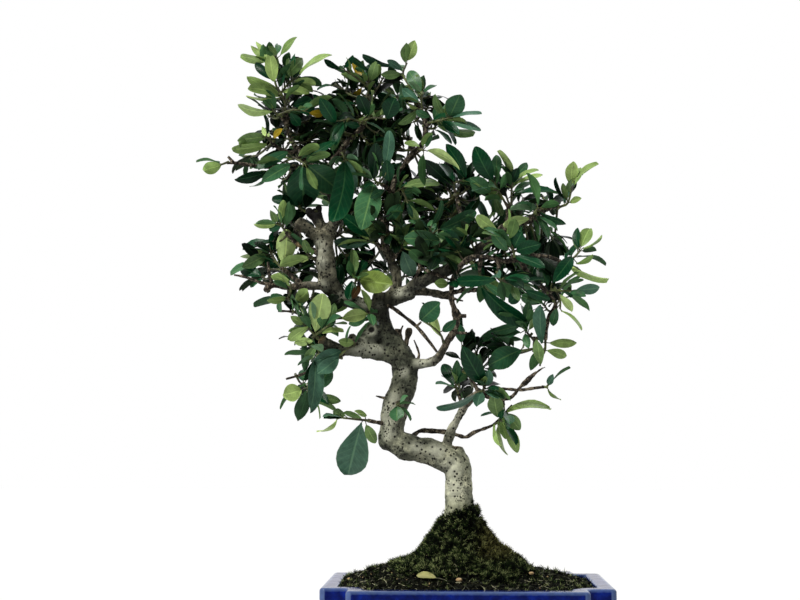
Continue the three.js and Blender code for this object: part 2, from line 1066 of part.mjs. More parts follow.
function staysStraight(list, centres, from, to) {
  for (let i = from + 1; i < to; i++) {
    const t = (i - from) / (to - from);
    const chord = new THREE.Line3(centres[from], centres[to]);
    const nearest = chord.closestPointToPoint(centres[i], true, new THREE.Vector3());
    if (nearest.distanceTo(centres[i]) > STRAIGHT_WITHIN) return false;
    if (Math.abs(list[i][3] - lerp(list[from][3], list[to][3], t)) > STRAIGHT_WITHIN) return false;
  }
  return true;
}

function limb(list, sides, bulge) {
  const centres = list.map(([u, v, y]) => seen(u, v, y));
  const kept = straightened(list, centres);
  const radii = kept.map((i) => seenSize(list[i][3], centres[i]) / 2);
  return stem(kept.map((i) => centres[i]), radii, sides, bulge);
}

function fluted(angle, ring) {
  const wave = ({ count, depth, turn }) => depth * Math.sin(count * angle + turn * ring);
  return FLUTES.reduce((total, flute) => total + wave(flute), 1);
}

function twig(list) {
  const rootThickness = list[0][3];
  return limb(list, rootThickness < THIN_TWIG ? LIMB_SIDES.thinTwig : LIMB_SIDES.twig);
}

function makeWood() {
  const flare = TRUNK_FLARE.map(([z]) => new THREE.Vector3(TRUNK_FOOT.x, TRUNK_FOOT.y, z));
  const foot = stem(
    [...flare, seen(FLARE_TOP.u, FLARE_TOP.v, TRUNK_FOOT.y)],
    [...TRUNK_FLARE.map(([, radius]) => radius), FLARE_TOP.radius],
    LIMB_SIDES.trunk,
  );
  const pieces = [
    ...TRUNK_LIMBS.map((list) => limb(list, LIMB_SIDES.trunk, fluted)),
    ...THICK_LIMBS.map((list) => limb(list, LIMB_SIDES.thick)),
    ...TWIGS.map(twig),
  ];
  return pieces.reduce((whole, piece) => whole.add(piece), foot);
}

// The leafy shoots. `shoots` are lists of [u, v, y], the first from the end of a woody twig and the
// others from it; `leaves` are [u, v of the blade's foot, u, v of its tip, width on the sheet, tone],
// and `more` counts the leaves that the same shoot grows behind them.
// Tones: D dark, M middling, O olive, G grey-green, L pale underside, T bright, Y yellow, B brown.
const LEAFY_SHOOTS = [
  {
    name: "shoot_crown_left",
    seed: 7401,
    shoots: [
      [[285, 102.5, 0], [281.5, 94, -2], [276, 85, -4], [273.5, 72, -6], [274, 60, -8]],
      [[281, 93, -2], [288, 84, 2], [298, 77, 6]],
    ],
    leaves: [
      [274, 83, 270, 53, 13, "L"],
      [280, 56, 296, 37, 8, "M"],
      [275, 54, 256, 43, 6, "L"],
      [270, 56, 251, 47, 7, "L"],
      [270, 58, 240, 56, 8, "M"],
      [276, 55, 268, 46, 6, "D"],
      [277, 55, 278, 43, 7, "D"],
      [272, 80, 255, 63, 9, "D"],
      [277, 87, 247, 78, 11, "O"],
      [280, 97, 248, 88, 10, "M"],
      [280, 98, 246, 96, 4, "M"],
      [283, 93, 310, 92, 8, "M"],
      [285, 78, 304, 58, 12, "M"],
      [300, 75, 330, 53, 6, "O"],
    ],
    more: 1,
  },
  {
    name: "shoot_crown_left_low",
    seed: 6102,
    shoots: [
      [[279, 115, -5], [274, 111.5, -8]],
      [[279.5, 114.5, -5.5], [292, 110, -9], [305, 111, -9]],
    ],
    leaves: [
      [273, 111, 236, 108, 10, "O"],
      [292, 106, 312, 99, 12, "D"],
      [300, 112, 315, 104, 13, "D"],
      [309, 113, 323, 113, 8, "Y"],
      [290, 112, 300, 126, 10, "D"],
    ],
    more: 1,
  },
  {
    name: "shoot_left_upper",
    seed: 2803,
    shoots: [[[269.5, 139.4, -7], [266, 136, -9]]],
    leaves: [
      [270, 137, 262, 128, 6, "L"],
      [265, 137, 238, 140, 12, "O"],
      [267, 144, 232, 150, 9, "O"],
      [274, 138, 282, 129, 6, "Y"],
    ],
    more: 1,
  },
  {
    name: "shoot_far_left",
    seed: 1104,
    shoots: [[[225.5, 163, -32.5], [220, 165, -34]]],
    leaves: [[222, 165, 203, 171, 13, "L"]],
    more: 1,
  },
  {
    name: "shoot_left_heart",
    seed: 5105,
    shoots: [
      [[296.4, 158, -15.2], [288, 160, -18], [278, 166, -22], [269, 170, -24]],
      [[295.5, 158.5, -16], [300, 161, -19], [305, 164, -21]],
    ],
    leaves: [
      [268, 171, 236, 181, 11, "D"],
      [290, 165, 262, 181, 13, "D"],
      [268, 176, 250, 188, 4, "M"],
      [288, 152, 256, 168, 12, "M"],
      [310, 157, 336, 140, 9, "M"],
      [300, 163, 303, 207, 34, "D"],
      [308, 165, 338, 190, 26, "D"],
    ],
    more: 1,
  },
  {
    name: "shoot_left_middle",
    seed: 3706,
    shoots: [[[284.8, 230.5, -25.6], [280, 224, -27]]],
    leaves: [
      [280, 220, 284, 200, 9, "L"],
      [276, 222, 271, 211, 7, "L"],
      [275, 224, 254, 225, 5, "M"],
      [282, 225, 269, 230, 7, "M"],
    ],
    more: 1,
  },
  {
    name: "shoot_left_low",
    seed: 7807,
    shoots: [[[280.6, 266.6, -11.6], [275, 261, -10], [271, 253, -8.4], [270, 245, -7.4]]],
    leaves: [
      [284, 264, 287, 229, 20, "L"],
      [271, 243, 254, 244, 5, "M"],
      [270, 248, 240, 257, 8, "O"],
      [266, 255, 242, 267, 12, "O"],
    ],
    more: 1,
  },
  {
    name: "shoot_left_limb",
    seed: 8,
    shoots: [[[313.3, 259, -18], [309, 256, -22]]],
    leaves: [
      [311, 259, 299, 258, 8, "Y"],
      [309, 254, 303, 240, 8, "M"],
    ],
    more: 0,
  },
  {
    name: "shoot_left_arm",
    seed: 4509,
    shoots: [
      [[289, 296, -24.5], [287, 300, -27]],
      [[288.5, 297, -26], [291, 290, -33], [290.5, 282, -33]],
    ],
    leaves: [
      [286, 299, 267, 300, 8, "M"],
      [281, 299, 280, 312, 6, "M"],
      [295, 302, 308, 291, 14, "L"],
      [290, 281, 271, 276, 9, "L"],
    ],
    more: 1,
  },
  {
    name: "shoot_left_face",
    seed: 210,
    shoots: [
      [[315.8, 336.4, -36], [311, 331, -38], [304, 325, -39]],
      [[315, 335.5, -37], [324, 329, -40], [330, 324, -40]],
    ],
    leaves: [
      [315, 333, 323, 293, 22, "L"],
      [309, 326, 288, 341, 11, "O"],
      [313, 341, 294, 343, 9, "L"],
      [322, 334, 344, 330, 5, "M"],
      [303, 324, 291, 316, 8, "M"],
      [330, 322, 335, 303, 8, "M"],
    ],
    more: 1,
  },
  {
    name: "shoot_centre_left",
    seed: 3711,
    shoots: [[[370.5, 315, -9], [369, 313.5, -13]]],
    leaves: [
      [368, 314, 342, 318, 13, "G"],
      [370, 316, 349, 324, 10, "T"],
    ],
    more: 0,
  },
  {
    name: "shoot_lower_left_fan",
    seed: 6112,
    shoots: [
      [[339, 357.6, -28], [330, 356, -31], [320, 354, -33], [316, 357, -34]],
      [[338, 357.4, -29], [346, 350, -33], [356, 345, -31]],
    ],
    leaves: [
      [341, 351, 314, 362, 14, "D"],
      [340, 356, 318, 373, 15, "G"],
      [316, 346, 305, 361, 9, "M"],
      [315, 360, 312, 412, 18, "G"],
      [355, 343, 339, 341, 9, "O"],
    ],
    more: 1,
  },
  {
    name: "shoot_lower_left_end",
    seed: 413,
    shoots: [[[309.3, 380.5, -21], [308, 387, -22], [309, 392, -23]]],
    leaves: [
      [316, 390, 330, 370, 17, "M"],
      [301, 390, 283, 395, 18, "T"],
      [317, 397, 341, 401, 10, "D"],
    ],
    more: 2,
  },
  {
    name: "shoot_trunk_left",
    seed: 6514,
    shoots: [[[366.5, 420.3, -21], [358, 419.5, -25], [349, 418.5, -28], [343, 418, -29]]],
    leaves: [
      [362, 422, 348, 475, 30, "M"],
      [346, 416, 333, 413, 11, "O"],
      [337, 419, 317, 433, 6, "O"],
      [366, 416, 355, 411, 6, "M"],
      [366, 425, 376, 443, 11, "O"],
    ],
    more: 0,
  },
  {
    name: "shoot_trunk_face",
    seed: 15,
    shoots: [[[397.5, 403.6, -18], [397, 405, -20.5]]],
    leaves: [
      [397, 404, 397, 421, 15, "D"],
      [400, 403, 407, 396, 5, "M"],
    ],
    more: 0,
  },
  {
    name: "shoot_heart_left",
    seed: 5516,
    shoots: [[[355, 283.5, -14.6], [356, 278, -16.5]]],
    leaves: [
      [352, 276, 353, 249, 10, "M"],
      [352, 281, 348, 300, 12, "T"],
      [362, 280, 389, 281, 19, "Y"],
      [360, 286, 352, 298, 8, "B"],
    ],
    more: 1,
  },
  {
    name: "shoot_heart_upper",
    seed: 1217,
    shoots: [[[375.4, 243.5, -1], [370, 241, -4]]],
    leaves: [
      [368, 241, 333, 243, 12, "G"],
      [370, 238, 341, 215, 14, "D"],
      [372, 239, 372, 222, 9, "M"],
    ],
    more: 1,
  },
  {
    name: "shoot_heart_right",
    seed: 118,
    shoots: [[[399.8, 249.6, -5], [401, 246.5, -8]]],
    leaves: [[402, 250, 413, 276, 16, "D"]],
    more: 2,
  },
  {
    name: "shoot_centre_right",
    seed: 319,
    shoots: [
      [[434.4, 252, -18.5], [440, 246, -21]],
      [[435.5, 251, -19], [433, 240, -20], [430, 228, -20]],
    ],
    leaves: [
      [440, 241, 404, 238, 18, "D"],
      [441, 247, 437, 264, 13, "G"],
      [440, 229, 476, 211, 14, "D"],
      [432, 225, 443, 201, 6, "L"],
      [427, 226, 408, 221, 4, "L"],
    ],
    more: 2,
  },
  {
    name: "shoot_centre_low",
    seed: 120,
    shoots: [[[447.5, 278.5, -20.4], [452, 281, -22]]],
    leaves: [[448, 284, 435, 283, 10, "O"]],
    more: 1,
  },
  {
    name: "shoot_right_face",
    seed: 6421,
    shoots: [[[442.6, 339.8, -29], [440, 334, -32], [431, 326, -33], [423, 321, -33]]],
    leaves: [
      [441, 337, 429, 309, 10, "L"],
      [443, 331, 456, 320, 9, "D"],
      [421, 320, 440, 303, 20, "M"],
    ],
    more: 1,
  },
  {
    name: "shoot_top_left_inner",
    seed: 1322,
    shoots: [[[343, 155, -1.2], [345, 159, -4]]],
    leaves: [
      [345, 162, 333, 222, 20, "D"],
      [347, 160, 355, 190, 12, "G"],
    ],
    more: 2,
  },
  {
    name: "shoot_top_centre",
    seed: 823,
    shoots: [
      [[361.6, 122.6, 2.2], [352, 119, -1], [340, 121, -3]],
      [[361, 122.4, 1.8], [371, 118, -4], [383, 118.5, -6]],
    ],
    leaves: [
      [335, 122, 320, 98, 14, "D"],
      [352, 112, 334, 127, 7, "M"],
      [360, 126, 347, 124, 7, "Y"],
      [368, 117, 359, 95, 13, "M"],
      [377, 120, 370, 90, 5, "G"],
      [387, 119, 395, 98, 18, "D"],
    ],
    more: 2,
  },
  {
    name: "shoot_top_left",
    seed: 2824,
    shoots: [
      [[368.1, 93.4, 19.2], [368.5, 85, 19], [368, 77, 18]],
      [[368.3, 88, 19], [357, 78, 14], [344, 70, 10]],
    ],
    leaves: [
      [366, 76, 351, 60, 8, "Y"],
      [364, 82, 346, 73, 8, "O"],
      [371, 80, 376, 62, 10, "M"],
      [341, 69, 324, 59, 7, "M"],
      [343, 68, 353, 55, 5, "D"],
      [370, 70, 352, 57, 5, "M"],
      [362, 87, 354, 96, 6, "Y"],
    ],
    more: 2,
  },
  {
    name: "shoot_top_right",
    seed: 4825,
    shoots: [[[408.4, 84.4, 18.3], [403, 74, 20], [407, 63, 21]]],
    leaves: [
      [400, 74, 381, 75, 9, "M"],
      [402, 70, 388, 60, 7, "M"],
      [407, 60, 415, 41, 12, "M"],
      [397, 65, 362, 56, 5, "G"],
    ],
    more: 1,
  },
  {
    name: "shoot_crown",
    seed: 626,
    shoots: [[[422.6, 111.4, 8], [421.5, 102, 6], [422, 94, 4]]],
    leaves: [
      [421, 92, 408, 70, 14, "T"],
      [420, 103, 401, 89, 10, "M"],
      [424, 92, 437, 84, 5, "M"],
      [418, 108, 406, 103, 5, "M"],
      [417, 111, 398, 124, 8, "M"],
    ],
    more: 1,
  },
  {
    name: "shoot_crown_right",
    seed: 4827,
    shoots: [[[431.2, 122.4, 2.4], [440, 120.5, -1], [449, 118, -4]]],
    leaves: [
      [450, 116, 460, 95, 20, "M"],
      [445, 117, 434, 95, 7, "M"],
      [434, 119, 440, 106, 9, "M"],
      [452, 118, 482, 114, 4, "M"],
      [448, 123, 481, 130, 6, "M"],
      [438, 125, 475, 134, 7, "M"],
      [430, 117, 416, 111, 8, "M"],
    ],
    more: 1,
  },
  {
    name: "shoot_crown_low",
    seed: 7028,
    shoots: [[[420.6, 149.7, -3.2], [424, 150.5, -7]]],
    leaves: [
      [420, 147, 404, 142, 6, "M"],
      [427, 151, 461, 169, 10, "L"],
      [426, 147, 432, 134, 6, "M"],
    ],
    more: 2,
  },
  {
    name: "shoot_upper_heart",
    seed: 3229,
    shoots: [
      [[380, 183.2, -5], [375, 181, -8]],
      [[379, 182.8, -5.6], [385, 175, -12], [386, 168, -14]],
    ],
    leaves: [
      [373, 179, 376, 143, 14, "D"],
      [374, 184, 362, 228, 26, "G"],
      [385, 165, 390, 130, 12, "D"],
      [389, 181, 387, 160, 14, "M"],
      [384, 190, 371, 197, 8, "T"],
    ],
    more: 1,
  },
  {
    name: "shoot_upper_right",
    seed: 2930,
    shoots: [[[397.1, 192.2, -4], [401, 189, -7], [405, 196, -9], [407, 202, -9]]],
    leaves: [
      [404, 187, 440, 184, 9, "L"],
      [401, 194, 414, 192, 10, "M"],
      [409, 204, 418, 222, 9, "O"],
      [401, 204, 388, 220, 12, "Y"],
    ],
    more: 2,
  },
  {
    name: "shoot_right_inner",
    seed: 3631,
    shoots: [[[454.7, 188.4, 10.2], [455, 183, 9], [462, 180, 7]]],
    leaves: [
      [449, 183, 424, 160, 12, "D"],
      [465, 178, 446, 144, 14, "D"],
    ],
    more: 2,
  },
  {
    name: "shoot_right_upper",
    seed: 2032,
    shoots: [[[504.6, 201.6, 5.4], [499, 192, 3], [494, 184, 1]]],
    leaves: [
      [492, 180, 475, 147, 19, "D"],
      [496, 178, 497, 154, 11, "M"],
      [490, 192, 470, 178, 16, "M"],
      [495, 198, 503, 216, 8, "M"],
    ],
    more: 1,
  },
  {
    name: "shoot_right_crown",
    seed: 4233,
    shoots: [[[511.4, 201.4, 7.6], [511.5, 190, 9], [513, 180, 10]]],
    leaves: [
      [511, 177, 498, 150, 7, "L"],
      [508, 187, 493, 163, 6, "L"],
      [514, 177, 528, 163, 9, "M"],
      [517, 179, 538, 169, 5, "M"],
      [517, 184, 543, 175, 6, "M"],
      [514, 192, 533, 181, 7, "M"],
      [514, 196, 558, 193, 8, "D"],
    ],
    more: 1,
  },
  {
    name: "shoot_right_face_upper",
    seed: 3934,
    shoots: [[[538.2, 210.2, -10], [538, 208, -13], [532, 216, -15]]],
    leaves: [
      [535, 207, 517, 205, 9, "M"],
      [541, 212, 566, 226, 8, "M"],
      [537, 217, 558, 229, 5, "M"],
      [530, 219, 502, 225, 10, "L"],
    ],
    more: 1,
  },
  {
    name: "shoot_right_end_upper",
    seed: 4435,
    shoots: [[[561.5, 206.3, 5.3], [567, 204, 6], [570, 196, 6], [571.5, 188, 5]]],
    leaves: [
      [571, 185, 573, 162, 13, "L"],
      [574, 186, 580, 167, 9, "D"],
      [574, 182, 598, 163, 4, "M"],
      [565, 198, 555, 178, 5, "D"],
      [567, 200, 563, 183, 6, "M"],
      [569, 203, 581, 198, 6, "M"],
    ],
    more: 2,
  },
  {
    name: "shoot_right_heart",
    seed: 236,
    shoots: [[[513.7, 253.6, -40.5], [512, 246, -42], [503, 236, -43]]],
    leaves: [
      [500, 233, 475, 216, 12, "L"],
      [507, 250, 492, 232, 12, "M"],
      [515, 257, 545, 268, 10, "M"],
      [513, 249, 522, 232, 16, "D"],
      [516, 251, 541, 244, 14, "D"],
    ],
    more: 2,
  },
  {
    name: "shoot_right_end",
    seed: 3537,
    shoots: [[[562.5, 262.2, -38], [572, 259, -38], [580, 251, -38]]],
    leaves: [
      [581, 247, 590, 228, 13, "L"],
      [583, 248, 602, 235, 4, "M"],
      [576, 263, 593, 255, 5, "M"],
      [571, 265, 609, 279, 5, "G"],
      [573, 256, 554, 281, 14, "D"],
    ],
    more: 2,
  },
  {
    name: "shoot_right_low",
    seed: 4938,
    shoots: [
      [[554.3, 290, -31], [563, 291, -33], [573, 291, -34]],
      [[556, 290.3, -31.5], [560, 300, -36], [560, 309, -37]],
    ],
    leaves: [
      [576, 290, 600, 288, 11, "D"],
      [570, 293, 586, 296, 6, "M"],
      [557, 294, 572, 312, 8, "L"],
      [561, 311, 582, 330, 4, "M"],
      [557, 308, 552, 326, 9, "M"],
    ],
    more: 2,
  },
  {
    name: "shoot_right_drooping",
    seed: 3839,
    shoots: [[[498, 274.6, -44.8], [500, 279, -46], [511, 284, -47], [522, 288, -47]]],
    leaves: [
      [497, 279, 455, 281, 13, "D"],
      [503, 277, 541, 284, 9, "D"],
      [521, 290, 510, 303, 12, "M"],
      [525, 290, 550, 300, 9, "M"],
    ],
    more: 1,
  },
  {
    name: "shoot_right_long",
    seed: 340,
    shoots: [[[479.5, 273.6, -27.6], [480, 283, -26]]],
    leaves: [[482, 286, 527, 325, 19, "D"]],
    more: 2,
  },
  {
    name: "shoot_right_lower_end",
    seed: 1041,
    shoots: [[[545.4, 341.6, -18], [545, 350, -20], [541, 359, -23], [540, 366, -25]]],
    leaves: [
      [543, 344, 540, 305, 13, "G"],
      [549, 343, 576, 343, 10, "L"],
      [546, 350, 567, 357, 10, "O"],
      [541, 366, 537, 340, 11, "M"],
    ],
    more: 1,
  },
  {
    name: "shoot_right_cluster",
    seed: 5542,
    shoots: [
      [[531.5, 337.3, -7.6], [526, 331, -8], [523, 324, -9]],
      [[530, 336, -7.8], [525, 342, -9], [523, 348, -10]],
    ],
    leaves: [
      [526, 320, 529, 302, 10, "M"],
      [520, 325, 493, 332, 10, "M"],
      [521, 333, 479, 345, 15, "D"],
      [525, 334, 529, 347, 8, "M"],
      [521, 350, 489, 365, 22, "D"],
    ],
    more: 1,
  },
  {
    name: "shoot_low_right_upper",
    seed: 3243,
    shoots: [[[482.3, 390.5, -27], [485, 387, -30]]],
    leaves: [
      [484, 384, 463, 348, 19, "D"],
      [487, 386, 489, 370, 11, "M"],
      [481, 393, 477, 406, 12, "D"],
      [477, 393, 438, 411, 6, "M"],
    ],
    more: 1,
  },
  {
    name: "shoot_low_right_small",
    seed: 1144,
    shoots: [[[457, 389.5, -9.8], [455.5, 384, -10]]],
    leaves: [
      [454, 386, 442, 363, 12, "D"],
      [456, 380, 457, 360, 8, "M"],
    ],
    more: 1,
  },
  {
    name: "shoot_low_right_end",
    seed: 245,
    shoots: [[[545.4, 387, -33], [548, 387.3, -34]]],
    leaves: [
      [548, 385, 553, 374, 7, "M"],
      [548, 389, 561, 400, 4, "M"],
    ],
    more: 1,
  },
  {
    name: "shoot_low_right",
    seed: 846,
    shoots: [[[503.6, 406.5, -22.4], [504, 413, -24], [500, 420, -25]]],
    leaves: [
      [507, 409, 551, 409, 8, "M"],
      [507, 414, 520, 430, 13, "M"],
      [501, 423, 513, 445, 10, "M"],
      [499, 424, 506, 456, 7, "M"],
      [495, 424, 500, 446, 5, "M"],
      [498, 417, 494, 395, 16, "M"],
    ],
    more: 1,
  },
  {
    name: "shoot_back_crown",
    seed: 4947,
    shoots: [[[364.3, 188.2, 61.5], [358, 178, 68], [350, 165, 72], [345, 150, 74]]],
    leaves: [],
    more: 12,
  },
  {
    name: "shoot_back_left",
    seed: 448,
    shoots: [[[342.2, 220.4, 61.5], [338, 208, 70], [328, 196, 76], [316, 190, 80]]],
    leaves: [],
    more: 12,
  },
  {
    name: "shoot_back_right",
    seed: 7849,
    shoots: [[[480.8, 243.4, 63.5], [486, 232, 72], [494, 220, 78], [504, 212, 82]]],
    leaves: [],
    more: 13,
  },
  {
    name: "shoot_back_top",
    seed: 950,
    shoots: [[[407.7, 133.4, 46.5], [404, 120, 54], [400, 107, 58], [398, 96, 60]]],
    leaves: [],
    more: 11,
  },
  {
    name: "shoot_back_low",
    seed: 5451,
    shoots: [[[496.4, 290, 59.5], [508, 287, 66], [520, 281, 70], [530, 272, 72]]],
    leaves: [],
    more: 11,
  },
];

// Leaves and shoots

// Where a leaf with its foot at (u, v) leaves the shoots: near there, and `back` towards their start
function jointOnShoots(shoots, u, v, back) {
  const margin = SHOWN_LEAF.jointMargin;
  let best = { distance: Infinity };
  for (const shoot of shoots) {
    for (let i = 1; i < shoot.length; i++) {
      const [fromU, fromV, fromY] = shoot[i - 1];
      const [toU, toV, toY] = shoot[i];
      const [du, dv] = [toU - fromU, toV - fromV];
      const along = ((u - fromU) * du + (v - fromV) * dv) / (du * du + dv * dv);
      const t = Math.min(Math.max(along - back / Math.hypot(du, dv), margin), 1 - margin);
      const [atU, atV] = [fromU + t * du, fromV + t * dv];
      const distance = Math.hypot(u - atU, v - atV);
      if (distance < best.distance) best = { distance, u: atU, v: atV, y: lerp(fromY, toY, t) };
    }
  }
  return best;
}

// A leaf that shows from the front: its foot and tip lie where they are seen, it leans towards the
// eye or away from it as far as its true length asks, and it rolls as far as its true width asks
function shownLeaf(spray, [footU, footV, tipU, tipV, width, tone], draw) {
  const { jointSpread, footScatter, trueLength, steepestLean } = SHOWN_LEAF;
  const joint = jointOnShoots(spray.shoots, footU, footV, jointSpread * draw());
  const root = seen(joint.u, joint.v, joint.y);
  const foot = seen(footU, footV, joint.y + footScatter * (draw() - 0.5));
  const shown = seen(tipU, tipV, foot.y).distanceTo(foot);
  const length = Math.max(shown * between(trueLength, draw()), LEAF.shortest);
  const away = draw() < 0.5 ? -1 : 1;
  const lean = away * Math.min(Math.sqrt(length * length - shown * shown), steepestLean * shown);
  const tip = seen(tipU, tipV, foot.y + lean);
  const axis = tip.clone().sub(foot).normalize();
  const shownWidth = seenSize(width, foot);
  const fullWidth = Math.max(shownWidth, LEAF.widthToLength * length);
  const roll = Math.acos(shownWidth / fullWidth) * (draw() < 0.5 ? -1 : 1);
  const towardsEye = EYE.clone().sub(foot);
  towardsEye.addScaledVector(axis, -towardsEye.dot(axis)).normalize();
  const face = towardsEye.applyAxisAngle(axis, roll);
  if (tone === "L") face.negate();
  return { root, foot, tip, face, width: fullWidth, arch: between(LEAF.arch, draw()) };
}

// A leaf of the shoot's own growth, `k` of `count` round it, turned to the light
function grownLeaf(spray, k, count, draw) {
  const { scatterAlong, backwards, outwardFace, droop, twist, fullness } = GROWN_LEAF;
  const shoot = spray.shoots[0];
  const part = ((shoot.length - 1) * (k + 0.5 + scatterAlong * (draw() - 0.5))) / count;
  const from = Math.floor(part);
  const at = [0, 1, 2].map((axis) => lerp(shoot[from][axis], shoot[from + 1][axis], part - from));
  const root = seen(...at);
  const along = seen(...shoot[from + 1]).sub(seen(...shoot[from])).normalize();
  const turn = k * GOLDEN_ANGLE + draw();
  const out = new THREE.Vector3(0, 0, 1);
  out.addScaledVector(along, -out.dot(along)).normalize().applyAxisAngle(along, turn);
  if (spray.leaves.length > 0) out.y = Math.abs(out.y) + backwards;
  const spread = between(GROWN_LEAF.spread, draw());
  const heading = along.clone().addScaledVector(out.normalize(), spread).normalize();
  const length = between(GROWN_LEAF.length, draw());
  const foot = root.clone().addScaledVector(heading, LEAF.shortestStalk);
  const tip = foot.clone().addScaledVector(heading, length);
  tip.z -= droop * length * draw();
  const axis = tip.clone().sub(foot).normalize();
  const face = new THREE.Vector3(0, 0, 1).addScaledVector(out, outwardFace);
  face.addScaledVector(axis, -face.dot(axis)).normalize();
  face.applyAxisAngle(axis, twist * (draw() - 0.5));
  const width = length * LEAF.widthToLength * between(fullness, draw());
  return { root, foot, tip, face, width, arch: between(LEAF.arch, draw()) };
}

function leavesOf(spray) {
  const draw = drawFrom(spray.seed);
  const shown = spray.leaves.map((leaf) => shownLeaf(spray, leaf, draw));
  const grown = Array.from({ length: spray.more }, (_, k) => grownLeaf(spray, k, spray.more, draw));
  return [...shown, ...grown];
}

// A blade on its stalk, split alike on both faces. The stalk grows from a point inside the shoot.
function blade({ root, foot, tip, face, width, arch }) {
  const start = foot.clone();
  const shortfall = LEAF.shortestStalk - foot.distanceTo(root);
  if (shortfall > 0) start.addScaledVector(tip.clone().sub(foot).normalize(), shortfall);
  const axis = tip.clone().sub(start).normalize();
  const length = tip.distanceTo(start);
  const over = face.clone().addScaledVector(axis, -face.dot(axis)).normalize();
  const across = new THREE.Vector3().crossVectors(over, axis);
  const half = LEAF.thickness / 2;
  const outline = OUTLINES.find(({ upTo }) => length < upTo).stations;
  const stations = [
    [0, LEAF.stalkHalfWidth],
    ...outline.map(([t, share]) => [t, (share * width) / 2]),
  ];
  const points = [root];
  for (const [t, reach] of stations) {
    const middle = start.clone().lerp(tip, t).addScaledVector(over, arch * length * 4 * t * (1 - t));
    for (const [right, up] of [[1, 1], [-1, 1], [-1, -1], [1, -1]]) {
      const corner = middle.clone().addScaledVector(across, right * reach);
      points.push(corner.addScaledVector(over, up * half));
    }
  }
  const [a, b, c, d] = [4, 3, 2, 1].map((n) => points.length - n);
  const [tipOver, tipUnder] = [points.length, points.length + 1];
  points.push(tip.clone().addScaledVector(over, half), tip.clone().addScaledVector(over, -half));
  const triangles = [
    [0, 2, 1],
    [0, 3, 2],
    [0, 4, 3],
    [0, 1, 4],
    [a, b, tipOver],
    [d, tipUnder, c],
    [b, c, tipUnder],
    [b, tipUnder, tipOver],
    [d, a, tipOver],
    [d, tipOver, tipUnder],
  ];
  for (let k = 0; k + 1 < stations.length; k++) {
    const [e, f, g, h] = [1, 2, 3, 4].map((n) => n + 4 * k);
    const [p, q, r, s] = [e, f, g, h].map((n) => n + 4);
    triangles.push([e, f, q], [e, q, p], [h, r, g], [h, s, r]);
    triangles.push([f, g, r], [f, r, q], [h, e, p], [h, p, s]);
  }
  return solidOf(points, triangles);
}

function greenShoot(list) {
  const centres = list.map(([u, v, y]) => seen(u, v, y));
  const radii = centres.map((_, i) =>
    lerp(SHOOT.rootRadius, SHOOT.tipRadius, i / (centres.length - 1)),
  );
  return stem(centres, radii, SHOOT.sides);
}

function makeSpray(spray) {
  const pieces = [...spray.shoots.map(greenShoot), ...leavesOf(spray).map(blade)];
  return pieces.reduce((whole, piece) => whole.add(piece));
}

// What lies on the soil

const FALLEN_LEAF = {
  foot: [-23, -54, 78.9],
  tip: [-38, -47, 80.7],
  stalk: 5,
  width: 5.5,
  face: [0, -0.35, 1],
  arch: 0.14,
};
// Pebbles: [x, y, z of the middle, size], and how they are drawn out along x, y and z
const PEBBLE_FORM = [1.3, 1, 0.8];
const PEBBLE_SEED = 900;
const PEBBLES = [
  [-6.2, -58, 78.2, 5],
  [49, -27, 80.2, 4.2],
  [-91, -12, 73.6, 4.6],
];

function makeFallenLeaf() {
  const foot = new THREE.Vector3(...FALLEN_LEAF.foot);
  const tip = new THREE.Vector3(...FALLEN_LEAF.tip);
  const root = foot.clone().addScaledVector(tip.clone().sub(foot).normalize(), -FALLEN_LEAF.stalk);
  const face = new THREE.Vector3(...FALLEN_LEAF.face).normalize();
  return blade({ root, foot, tip, face, width: FALLEN_LEAF.width, arch: FALLEN_LEAF.arch });
}

function makePebble([x, y, z, size], index) {
  const draw = drawFrom(PEBBLE_SEED + index);
  const geometry = new THREE.IcosahedronGeometry(size / 2, 0);
  geometry.rotateX(Math.PI * draw()).rotateZ(Math.PI * draw()).scale(...PEBBLE_FORM);
  return solidFromGeometry(geometry.translate(x, y, z));
}

// The whole plant in its pot, set with the middle of its outer box over the origin
const plant = new THREE.Group();
plant.add(
  meshOf(makePot(), "pot", FINISH.glaze),
  meshOf(makeSoil(), "soil", FINISH.soil),
  meshOf(makeMoss(), "moss", FINISH.moss),
  meshOf(makeWood(), "trunk_and_branches", FINISH.bark),
  ...LEAFY_SHOOTS.map((spray) => meshOf(makeSpray(spray), spray.name, FINISH.foliage)),
  meshOf(makeFallenLeaf(), "fallen_leaf", FINISH.fallenLeaf),
  ...PEBBLES.map((pebble, i) => meshOf(makePebble(pebble, i), `pebble_${i + 1}`, FINISH.pebble)),
);
const middle = new THREE.Box3().setFromObject(plant).getCenter(new THREE.Vector3());
plant.position.set(-middle.x, -middle.y, 0);

export default plant;
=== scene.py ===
# Potted firethorn bonsai, dressed around its CAD solids: glazed pot, soil, moss, bark and leaves
import math
from functools import partial

import bmesh
import bpy
import numpy as np
from mathutils import Matrix, Vector
from mathutils.kdtree import KDTree


